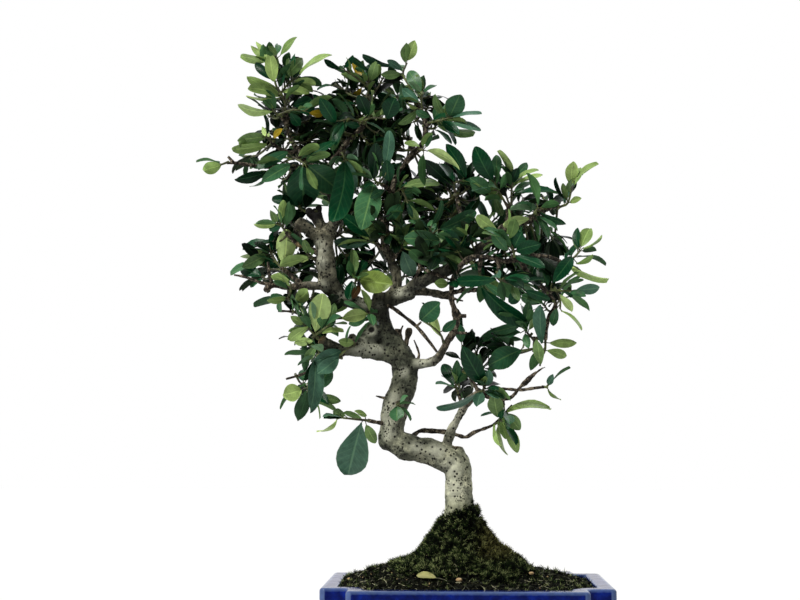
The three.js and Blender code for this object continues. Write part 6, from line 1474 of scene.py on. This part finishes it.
WOOD = wood_points()
for seed, (name, places) in enumerate(INNER_ROSETTES.items(), start=301):
    draw = draw_from(seed)
    courses, leaves = [], []
    for u, v, y in places:
        heart = seen(u, v, y + ROSETTE["deeper"] * draw() * (name != "inner_leaves_front"))
        start = WOOD[np.argmin(np.linalg.norm(WOOD - heart, axis=1))]
        if np.linalg.norm(heart - start) < ROSETTE["shortest"]:
            heart = heart + UP * ROSETTE["shortest"]
        middle = (start + heart) / 2 - UP * ROSETTE["sag"] * np.linalg.norm(heart - start)
        course = [start, middle, heart]
        rosette = [filling_leaf([[middle, heart]], draw) for _ in range(ROSETTE["leaves"])]
        # the inner leaves are mostly painted dark, as shade inside the crown
        for leaf in rosette:
            leaf["tone"] = INNER_PAINTED_SHADE_TONES[math.floor(draw() * len(INNER_PAINTED_SHADE_TONES))]
        courses.append(course)
        leaves += [leaf for leaf in rosette if in_box(leaf) and not in_sky(leaf)]
    spray = new_spray(name + "_paths", courses, leaves, seed)
    finished(grown(spray, name, LEAFY_TREE, GROWTH), "foliage")

# Pot

CORNER_STEPS = 7


def arc(middle, radius, start, end, steps):
    angles = [between(start, end, i / steps) for i in range(steps + 1)]
    return [(middle[0] + radius * math.cos(a), middle[1] + radius * math.sin(a)) for a in angles]


# The pot's outline moved inwards by `inset`, anticlockwise, by the CAD source's own rule
def pot_outline(inset):
    x, y = POT["width"] / 2 - inset, POT["depth"] / 2 - inset
    curve = max(POT["corner_radius"] - inset, POT["least_radius"])
    cove = min(POT["cove_radius"] + inset, POT["bite_x"] - curve - POT["least_flat"])
    inner_x, inner_y = x - POT["bite_x"], y - POT["bite_y"]
    quarter = [
        *arc((x - curve, inner_y - curve), curve, 0, math.pi / 2, CORNER_STEPS),
        *arc((inner_x + cove, inner_y + cove), cove, -math.pi / 2, -math.pi, CORNER_STEPS),
        *arc((inner_x - curve, y - curve), curve, 0, math.pi / 2, CORNER_STEPS),
    ]
    back = quarter[::-1]
    return (quarter + [(-px, py) for px, py in back] + [(-px, -py) for px, py in quarter]
            + [(px, -py) for px, py in back])


# [inset, height, how pale the glaze is there: thin on edges, partly as a painted highlight] from the floor's
# underside up the wall, over the rim and down inside
def pot_profile():
    profile = [(9, 8, 0.0), (7.6, 8.35, 0.2), (6.7, 9.2, 0.4), (6.2, 10.2, 0.3), (6, 11, 0.15)]
    profile += [(between(6, 3.5, t), between(11, 59, t), 0.0) for t in (0.25, 0.5, 0.75)]
    profile += [(3.5, 59.5, 0.0), (3.4, 60.4, 0.0), (2.9, 61.1, 0.0), (1.9, 61.5, 0.1), (0.9, 61.9, 0.5),
                (0.3, 62.5, 0.7), (0.03, 63.4, 0.35), (0, 64.2, 0.05), (0, 68.9, 0.15)]
    profile += [(2.5 - 2.5 * math.cos(a), 69.5 + 2.5 * math.sin(a), between(0.35, 0.75, math.sin(a)))
                for a in np.linspace(0.08, math.pi / 2, 6)]
    profile += [(4, 72, 0.25), (10, 72, 0.25), (11.5, 72, 0.5), (12.2, 71.8, 0.7), (12.75, 71.3, 0.6),
                (13, 70.5, 0.3), (13, 66, 0.05), (13, 14, 0.0)]
    return profile


# Four-sided faces from each ring of `count` points to the next
def ring_faces(rings, count):
    corners = ((0, 0), (0, 1), (1, 1), (1, 0))
    return [tuple((k + up) * count + (i + over) % count for up, over in corners)
            for k in range(rings - 1) for i in range(count)]


def new_skin(name, rings, surfaces):
    count = len(rings[0])
    points = [point for ring in rings for point in ring]
    faces = [tuple(reversed(range(count))), *ring_faces(len(rings), count),
             tuple(range(len(points) - count, len(points)))]
    skin = new_thing(name, points, faces=faces)
    for surface in surfaces:
        skin.data.materials.append(surface)
    return skin


# The glaze is also paler on the wall's upright edges, where the outline bends in short steps: thin glaze,
# partly a painted highlight
SHARP_BEND, SHORT_STEP, THIN_GLAZE_AND_HIGHLIGHT_ON_EDGES = 0.1, 3, 0.7
# The pot's underside is bare up to this many millimetres over its feet
UNGLAZED = 0.2
ring = np.array(pot_outline(0))
before, after = ring - np.roll(ring, 1, axis=0), np.roll(ring, -1, axis=0) - ring
bend = before[:, 0] * after[:, 1] - before[:, 1] * after[:, 0]
step = np.maximum(np.linalg.norm(before, axis=1), np.linalg.norm(after, axis=1))
on_edge = (bend > SHARP_BEND * step ** 2) & (step < SHORT_STEP)
profile = pot_profile()
rings = [[(x, y, z) for x, y in pot_outline(inset)] for inset, z, _ in profile]
pot = new_skin("pot_body", rings, [GLAZE, STONEWARE])
thin_glaze_and_highlight = np.array([np.maximum(thin_glaze_and_highlight, THIN_GLAZE_AND_HIGHLIGHT_ON_EDGES * on_edge) for _, _, thin_glaze_and_highlight in profile])
note(pot, "thin_glaze_and_highlight", "FLOAT", thin_glaze_and_highlight)
pot.data.shade_smooth()
for face in pot.data.polygons:
    highest = max(pot.data.vertices[i].co.z for i in face.vertices) / MM
    face.material_index = int(highest < POT["foot_height"] + UNGLAZED)
for right in (-1, 1):
    bpy.ops.mesh.primitive_cylinder_add(
        vertices=40, radius=DRAIN["radius"] * MM, depth=DRAIN["drilled"] * MM,
        location=to_frame((right * DRAIN["from_middle"], 0, DRAIN["height"])))
    drill = bpy.context.object
    hole = pot.modifiers.new("drain", "BOOLEAN")
    hole.operation = "DIFFERENCE"
    hole.solver = "EXACT"
    hole.object = drill
    pot = worked(pot, "pot_body")
    bpy.data.objects.remove(drill)


# One foot: a low block with cut corners, drawn in towards the table
def foot_ring(right, back, shrink, z):
    x, y = FOOT["length"] / 2 - shrink, FOOT["depth"] / 2 - shrink
    cut = FOOT["corner_cut"]
    section = [(x, cut - y), (x, y - cut), (x - cut, y), (cut - x, y), (-x, y - cut), (-x, cut - y),
               (cut - x, -y), (x - cut, -y)]
    middle = (right * FOOT["from_middle_x"], back * FOOT["from_middle_y"])
    return [(middle[0] + px, middle[1] + py, z) for px, py in section]


for right, side in ((-1, "left"), (1, "right")):
    for back, end in ((-1, "front"), (1, "back")):
        foot = new_skin("pot_foot", [foot_ring(right, back, shrink, z) for shrink, z in (
            (FOOT["taper"] + FOOT["edge"], 0), (FOOT["taper"], FOOT["edge"]), (0.6, 6.5),
            (0, POT["foot_height"] + FOOT["sunk"]))], [GLAZE, STONEWARE])
        note(foot, "thin_glaze_and_highlight", "FLOAT", np.repeat([0.6, 0.5, 0.2, 0.2], 8))
        for face in foot.data.polygons:
            face.material_index = int(face.normal.z < -0.5)
        round_edges = foot.modifiers.new("round_edges", "BEVEL")
        round_edges.width = 0.7 * MM
        round_edges.segments = 3
        foot = worked(foot, f"pot_foot_{side}_{end}")
        foot.data.shade_smooth()
        finished(foot, "glaze", "pot")
finished(pot, "glaze", "pot")

# Soil and moss

# How many kinds of crumb, tuft and straw there are
KINDS = 6

# Bits strewn over a bed, as many as its points' `bed` share lets stay, turned, leaned and sized at
# random
SCATTER_TREE, add, given = new_tree("scattered_bits", {
    "Bits": "Collection", "For each square metre": 1e5, "Least size": 1.0 * MM,
    "Greatest size": 2.0 * MM, "Lean": 0.5, "Seed": 1, "Surface": "Material"})
spots = add("GeometryNodeDistributePointsOnFaces", {
    "Mesh": given["Geometry"], "Density": given["For each square metre"], "Seed": given["Seed"]})
keep = add(RANDOM, {
    "Probability": add(FIELD, ["bed"], data_type="FLOAT"), "Seed": given["Seed"]}, data_type="BOOLEAN")
least = add(MATH, [given["Lean"], -1.0], operation="MULTIPLY")
least = add("ShaderNodeCombineXYZ", [least, least, 0.0])
most = add("ShaderNodeCombineXYZ", [given["Lean"], given["Lean"], 2 * math.pi])
tilt = add(RANDOM, {"Min": least, "Max": most, "Seed": 11}, data_type="FLOAT_VECTOR")
tilt = add("FunctionNodeEulerToRotation", [tilt])
turn = add("FunctionNodeRotateRotation", [spots.node.outputs["Rotation"], tilt], rotation_space="LOCAL")
scale = add(RANDOM, {
    "Min": given["Least size"], "Max": given["Greatest size"], "Seed": 12}, data_type="FLOAT")
which = add(RANDOM, {"Min": 0, "Max": KINDS - 1, "Seed": 13}, data_type="INT")
shade = add(RANDOM, {"Min": 0.0, "Max": 1.0, "Seed": 14}, data_type="FLOAT")
bits = add("GeometryNodeCollectionInfo", [given["Bits"], True, True])
laid = add("GeometryNodeInstanceOnPoints", {
    "Points": spots, "Selection": keep, "Instance": bits, "Pick Instance": True,
    "Instance Index": which, "Rotation": turn, "Scale": scale})
laid = add("GeometryNodeStoreNamedAttribute", {
    "Geometry": laid, "Name": "shade", "Value": shade}, data_type="FLOAT", domain="INSTANCE")
laid = add("GeometryNodeRealizeInstances", [laid])
add("NodeGroupOutput", [skinned(add, laid, given["Surface"])])

# Hummocks over the ground: two sizes of noise, only on what faces up
HUMMOCK_TREE, add, given = new_tree("hummocks", {
    "Wide": 8 * MM, "Height": 1 * MM, "Fine height": 0.4 * MM, "Surface": "Material"})
wide = add(MATH, [1.0, given["Wide"]], operation="DIVIDE")
swell = add(NOISE, {"Scale": wide, "Detail": 2.0, "Roughness": 0.6})
swell = add(MATH, [swell, 0.5], operation="SUBTRACT")
crumb = add(NOISE, {"Scale": every(2.2), "Detail": 2.0})
crumb = add(MATH, [crumb, 0.5], operation="SUBTRACT")
crumb = add(MATH, [crumb, given["Fine height"]], operation="MULTIPLY")
rise = add(MATH, [swell, given["Height"], crumb], operation="MULTIPLY_ADD")
top = add(SPLIT, [add("GeometryNodeInputNormal")], out="Z")
top = add(RANGE, [top, 0.1, 0.5, 0.0, 1.0])
close_relief(add, given, add(MATH, [rise, top], operation="MULTIPLY"))


# Which share of the bits a bed takes, at each of its points: none on sides and undersides
def note_bed(bed, points, share):
    normals = np.empty(3 * len(points))
    bed.data.vertices.foreach_get("normal", normals)
    share = share * eased(normals.reshape(-1, 3)[:, 2], 0.1, 0.45)
    note(bed, "bed", "FLOAT", share)


# A collection of bits to strew, each point marked with its height over the foot
def new_bits(name, shapes):
    home = bpy.data.collections.new(name)
    for k, (points, faces) in enumerate(shapes):
        mesh = bpy.data.meshes.new(f"{name}_{k}")
        mesh.from_pydata([tuple(point) for point in points], [], faces)
        bit = bpy.data.objects.new(f"{name}_{k}", mesh)
        note(bit, "high", "FLOAT", np.clip([point[2] for point in points], 0, 1))
        home.objects.link(bit)
    return home


# The bits. A crumb is 1 wide, and other sizes are shares of that.
CRUMB = {"radius": 0.5, "stretch": (0.6, 1.1), "dents": (0.8, 1.15)}
TUFT = {"blades": 6, "stray": 0.3, "half_width": 0.12, "back": 0.10, "lean": (0.25, 0.9),
        "height": (0.7, 1.15), "drawn_in": 0.85}
STRAW_BIT = {"half_length": 5, "bend": (-2.2, 2.2), "rings": 5, "lifted": 0.5, "slope": 0.3,
             "radius": 0.36, "taper": 0.5}


# Crumbs: icosahedra drawn out and dented at random
def crumb_shapes():
    chance = np.random.default_rng(41)
    shape = bmesh.new()
    bmesh.ops.create_icosphere(shape, subdivisions=1, radius=CRUMB["radius"])
    points = np.array([vertex.co for vertex in shape.verts])
    faces = [tuple(vertex.index for vertex in face.verts) for face in shape.faces]
    shape.free()
    return [(points * chance.uniform(*CRUMB["stretch"], 3)
             * chance.uniform(*CRUMB["dents"], (len(points), 1)), faces) for _ in range(KINDS)]


# Moss tufts: a few pointed leaves each that stand up from one foot, three-sided
def tuft_shapes():
    chance = np.random.default_rng(42)
    shapes = []
    for _ in range(KINDS):
        points, faces = [], []
        for k in range(TUFT["blades"]):
            way = 2 * math.pi * (k + chance.uniform(-TUFT["stray"], TUFT["stray"])) / TUFT["blades"]
            out = np.array([math.cos(way), math.sin(way), 0])
            across = np.array([-math.sin(way), math.cos(way), 0]) * TUFT["half_width"]
            lean, tall = chance.uniform(*TUFT["lean"]), chance.uniform(*TUFT["height"])
            first = len(points)
            points += [across, -across, -out * TUFT["back"], out * lean + UP * tall * TUFT["drawn_in"]]
            faces += [(first + b, first + a, first + 3) for a, b in ((0, 1), (1, 2), (2, 0))]
            faces.append((first, first + 1, first + 2))
        shapes.append((points, faces))
    return shapes


# Straws: thin bent three-sided sticks that lie flat, ten times as long as a crumb is wide
def straw_shapes():
    chance = np.random.default_rng(43)
    rings, shapes = STRAW_BIT["rings"], []
    for _ in range(KINDS):
        bend = chance.uniform(*STRAW_BIT["bend"])
        points = []
        for t in np.linspace(-1, 1, rings):
            middle = np.array([STRAW_BIT["half_length"] * t, bend * (1 - t * t),
                               STRAW_BIT["lifted"] + STRAW_BIT["slope"] * t])
            radius = STRAW_BIT["radius"] * (1 - STRAW_BIT["taper"] * abs(t))
            points += [middle + radius * np.array([0, math.cos(a), math.sin(a)])
                       for a in (0, 2 * math.pi / 3, 4 * math.pi / 3)]
        faces = [(2, 1, 0), tuple(3 * (rings - 1) + i for i in range(3)), *ring_faces(rings, 3)]
        shapes.append((points, faces))
    return shapes


CRUMBS = new_bits("crumbs", crumb_shapes())
TUFTS = new_bits("tufts", tuft_shapes())
STRAWS = new_bits("straws", straw_shapes())

# How the mound is worked over, in millimetres: lower and steeper on the left of the trunk, banked up
# towards both ends of the pot, bare soil away from the trunk, painted shade between the bits, dry moss
# high on the right
STEEP = {"lower": 4.5, "over": 10, "between": (84, 95)}
BANKS = {"places": ((366, 566, 4.5), (564, 570, 3.0)), "spread": (4, 28), "above": 66}
BARE_SOIL = (34, 46)
# the beds under the bits are painted dark, as shade between them
BED_PAINTED_SHADE = {"soil": 0.3, "moss": 0.1}
DRY_MOSS = {"from": 10, "over": 12, "starts": (86, 96), "ends": (110, 124), "most": 0.6}
# Moss on the trunk: where it starts and ends, how much higher it climbs to the right, and its cut-off
CLIMB = {"starts": (106, 110), "top": 127, "slope": 0.45, "most": 6, "fades": (-5, 6),
         "nowhere_above": 140}


def steeper_on_the_left(points):
    left = np.clip((TRUNK_FOOT[0] - points[:, 0]) / STEEP["over"], 0, 1)
    points[:, 2] -= STEEP["lower"] * left * eased(points[:, 2], *STEEP["between"])
    return points


soil = worn(copied("soil", "soil_heap"), "soil_heap", square=1.5, passes=3)
soil = grown(soil, "soil_heap", HUMMOCK_TREE, {
    "Wide": 7 * MM, "Height": 1.6 * MM, "Fine height": 0.9 * MM, "Surface": SOIL})
points = points_of(soil)
for u, v, high in BANKS["places"]:
    away = np.linalg.norm(points[:, :2] - seen(u, v, 0)[:2], axis=1)
    points[:, 2] += high * (1 - eased(away, *BANKS["spread"])) * (points[:, 2] > BANKS["above"])
points = steeper_on_the_left(points)
place_points(soil, points)
note(soil, "shade", "FLOAT", np.full(len(points), BED_PAINTED_SHADE["soil"]))
away = np.hypot(points[:, 0] - TRUNK_FOOT[0], points[:, 1] - TRUNK_FOOT[1])
note_bed(soil, points, eased(away, *BARE_SOIL))
finished(soil, "soil", "soil")

moss = worn(copied("moss", "moss_mat"), "moss_mat", square=1.1, passes=2)
moss = grown(moss, "moss_mat", HUMMOCK_TREE, {
    "Wide": 9 * MM, "Height": 3.6 * MM, "Fine height": 1.0 * MM, "Surface": MOSS})
points = steeper_on_the_left(points_of(moss))
place_points(moss, points)
dry = np.clip((points[:, 0] - TRUNK_FOOT[0] - DRY_MOSS["from"]) / DRY_MOSS["over"], 0, 1)
dry *= eased(points[:, 2], *DRY_MOSS["starts"]) * (1 - eased(points[:, 2], *DRY_MOSS["ends"]))
note(moss, "dry", "FLOAT", DRY_MOSS["most"] * dry)
note(moss, "shade", "FLOAT", np.full(len(points), BED_PAINTED_SHADE["moss"]))
note_bed(moss, points, np.ones(len(points)))
finished(moss, "moss", "moss")

trunk_foot = new_object("trunk_foot", bpy.data.objects["trunk_and_limbs"].data.copy())
points = points_of(trunk_foot)
top = np.clip(CLIMB["slope"] * (points[:, 0] - TRUNK_FOOT[0]), -CLIMB["most"], CLIMB["most"])
height = points[:, 2] - CLIMB["top"] - top
share = eased(points[:, 2], *CLIMB["starts"]) * (1 - eased(height, *CLIMB["fades"]))
note(trunk_foot, "bed", "FLOAT", share * (points[:, 2] < CLIMB["nowhere_above"]))

# What is strewn on each bed, each kind a piece of its own: the bed, the bits, their finish and slot,
# how many lie on a square metre, their least and greatest size in millimetres, how far they lean, and
# the seed
for name, bed, bits, surface, slot, crowd, least, greatest, lean, seed in (
    ("soil_crumbs", soil, CRUMBS, SOIL, "soil", 2.2e5, 1.0, 4.2, 3.0, 5),
    ("straw_bits", soil, STRAWS, STRAW, "soil", 4.5e4, 0.35, 1.1, 0.4, 6),
    ("grit", soil, CRUMBS, GRIT, "pebble", 5000.0, 0.6, 1.9, 3.0, 7),
    ("stray_moss", soil, TUFTS, MOSS, "moss", 7.0e4, 1.8, 5.0, 0.8, 9),
    ("moss_tufts", moss, TUFTS, MOSS, "moss", 4.9e5, 1.8, 4.8, 0.9, 8),
    ("straw_on_moss", moss, STRAWS, STRAW, "soil", 1.2e4, 0.3, 0.8, 0.8, 21),
    ("grit_on_moss", moss, CRUMBS, GRIT, "pebble", 3500.0, 0.6, 1.7, 3.0, 22),
    ("moss_on_trunk", trunk_foot, TUFTS, MOSS, "moss", 4.5e5, 1.4, 3.0, 0.8, 10),
):
    finished(grown(new_object(name, bed.data.copy()), name, SCATTER_TREE, {
        "Bits": bits, "Surface": surface, "For each square metre": crowd, "Least size": least * MM,
        "Greatest size": greatest * MM, "Lean": lean, "Seed": seed}), slot)
bpy.data.objects.remove(trunk_foot)

# What lies on the soil: one fallen leaf and three pebbles
foot, tip = np.array(FALLEN_LEAF["foot"], float), np.array(FALLEN_LEAF["tip"], float)
fallen = new_spray("fallen_leaf_paths", [], [{
    "root": foot - unit(tip - foot) * FALLEN_LEAF["stalk"], "foot": foot, "tip": tip,
    "face": unit(np.array(FALLEN_LEAF["face"])), "width": FALLEN_LEAF["width"],
    "arch": FALLEN_LEAF["arch"], "tone": "F", "small": False}], 77)
fallen = grown(fallen, "fallen_leaf_blade", LEAFY_TREE, GROWTH)
finished(fallen, "fallen_leaf", "fallen_leaf")

for number in (1, 2, 3):
    pebble = copied(f"pebble_{number}", f"river_pebble_{number}")
    round_off = pebble.modifiers.new("worn", "SUBSURF")
    round_off.levels = round_off.render_levels = 3
    pebble = worked(pebble, f"river_pebble_{number}")
    pebble.data.shade_smooth()
    pebble.data.materials.clear()
    pebble.data.materials.append(GRIT)
    finished(pebble, "pebble", f"pebble_{number}")
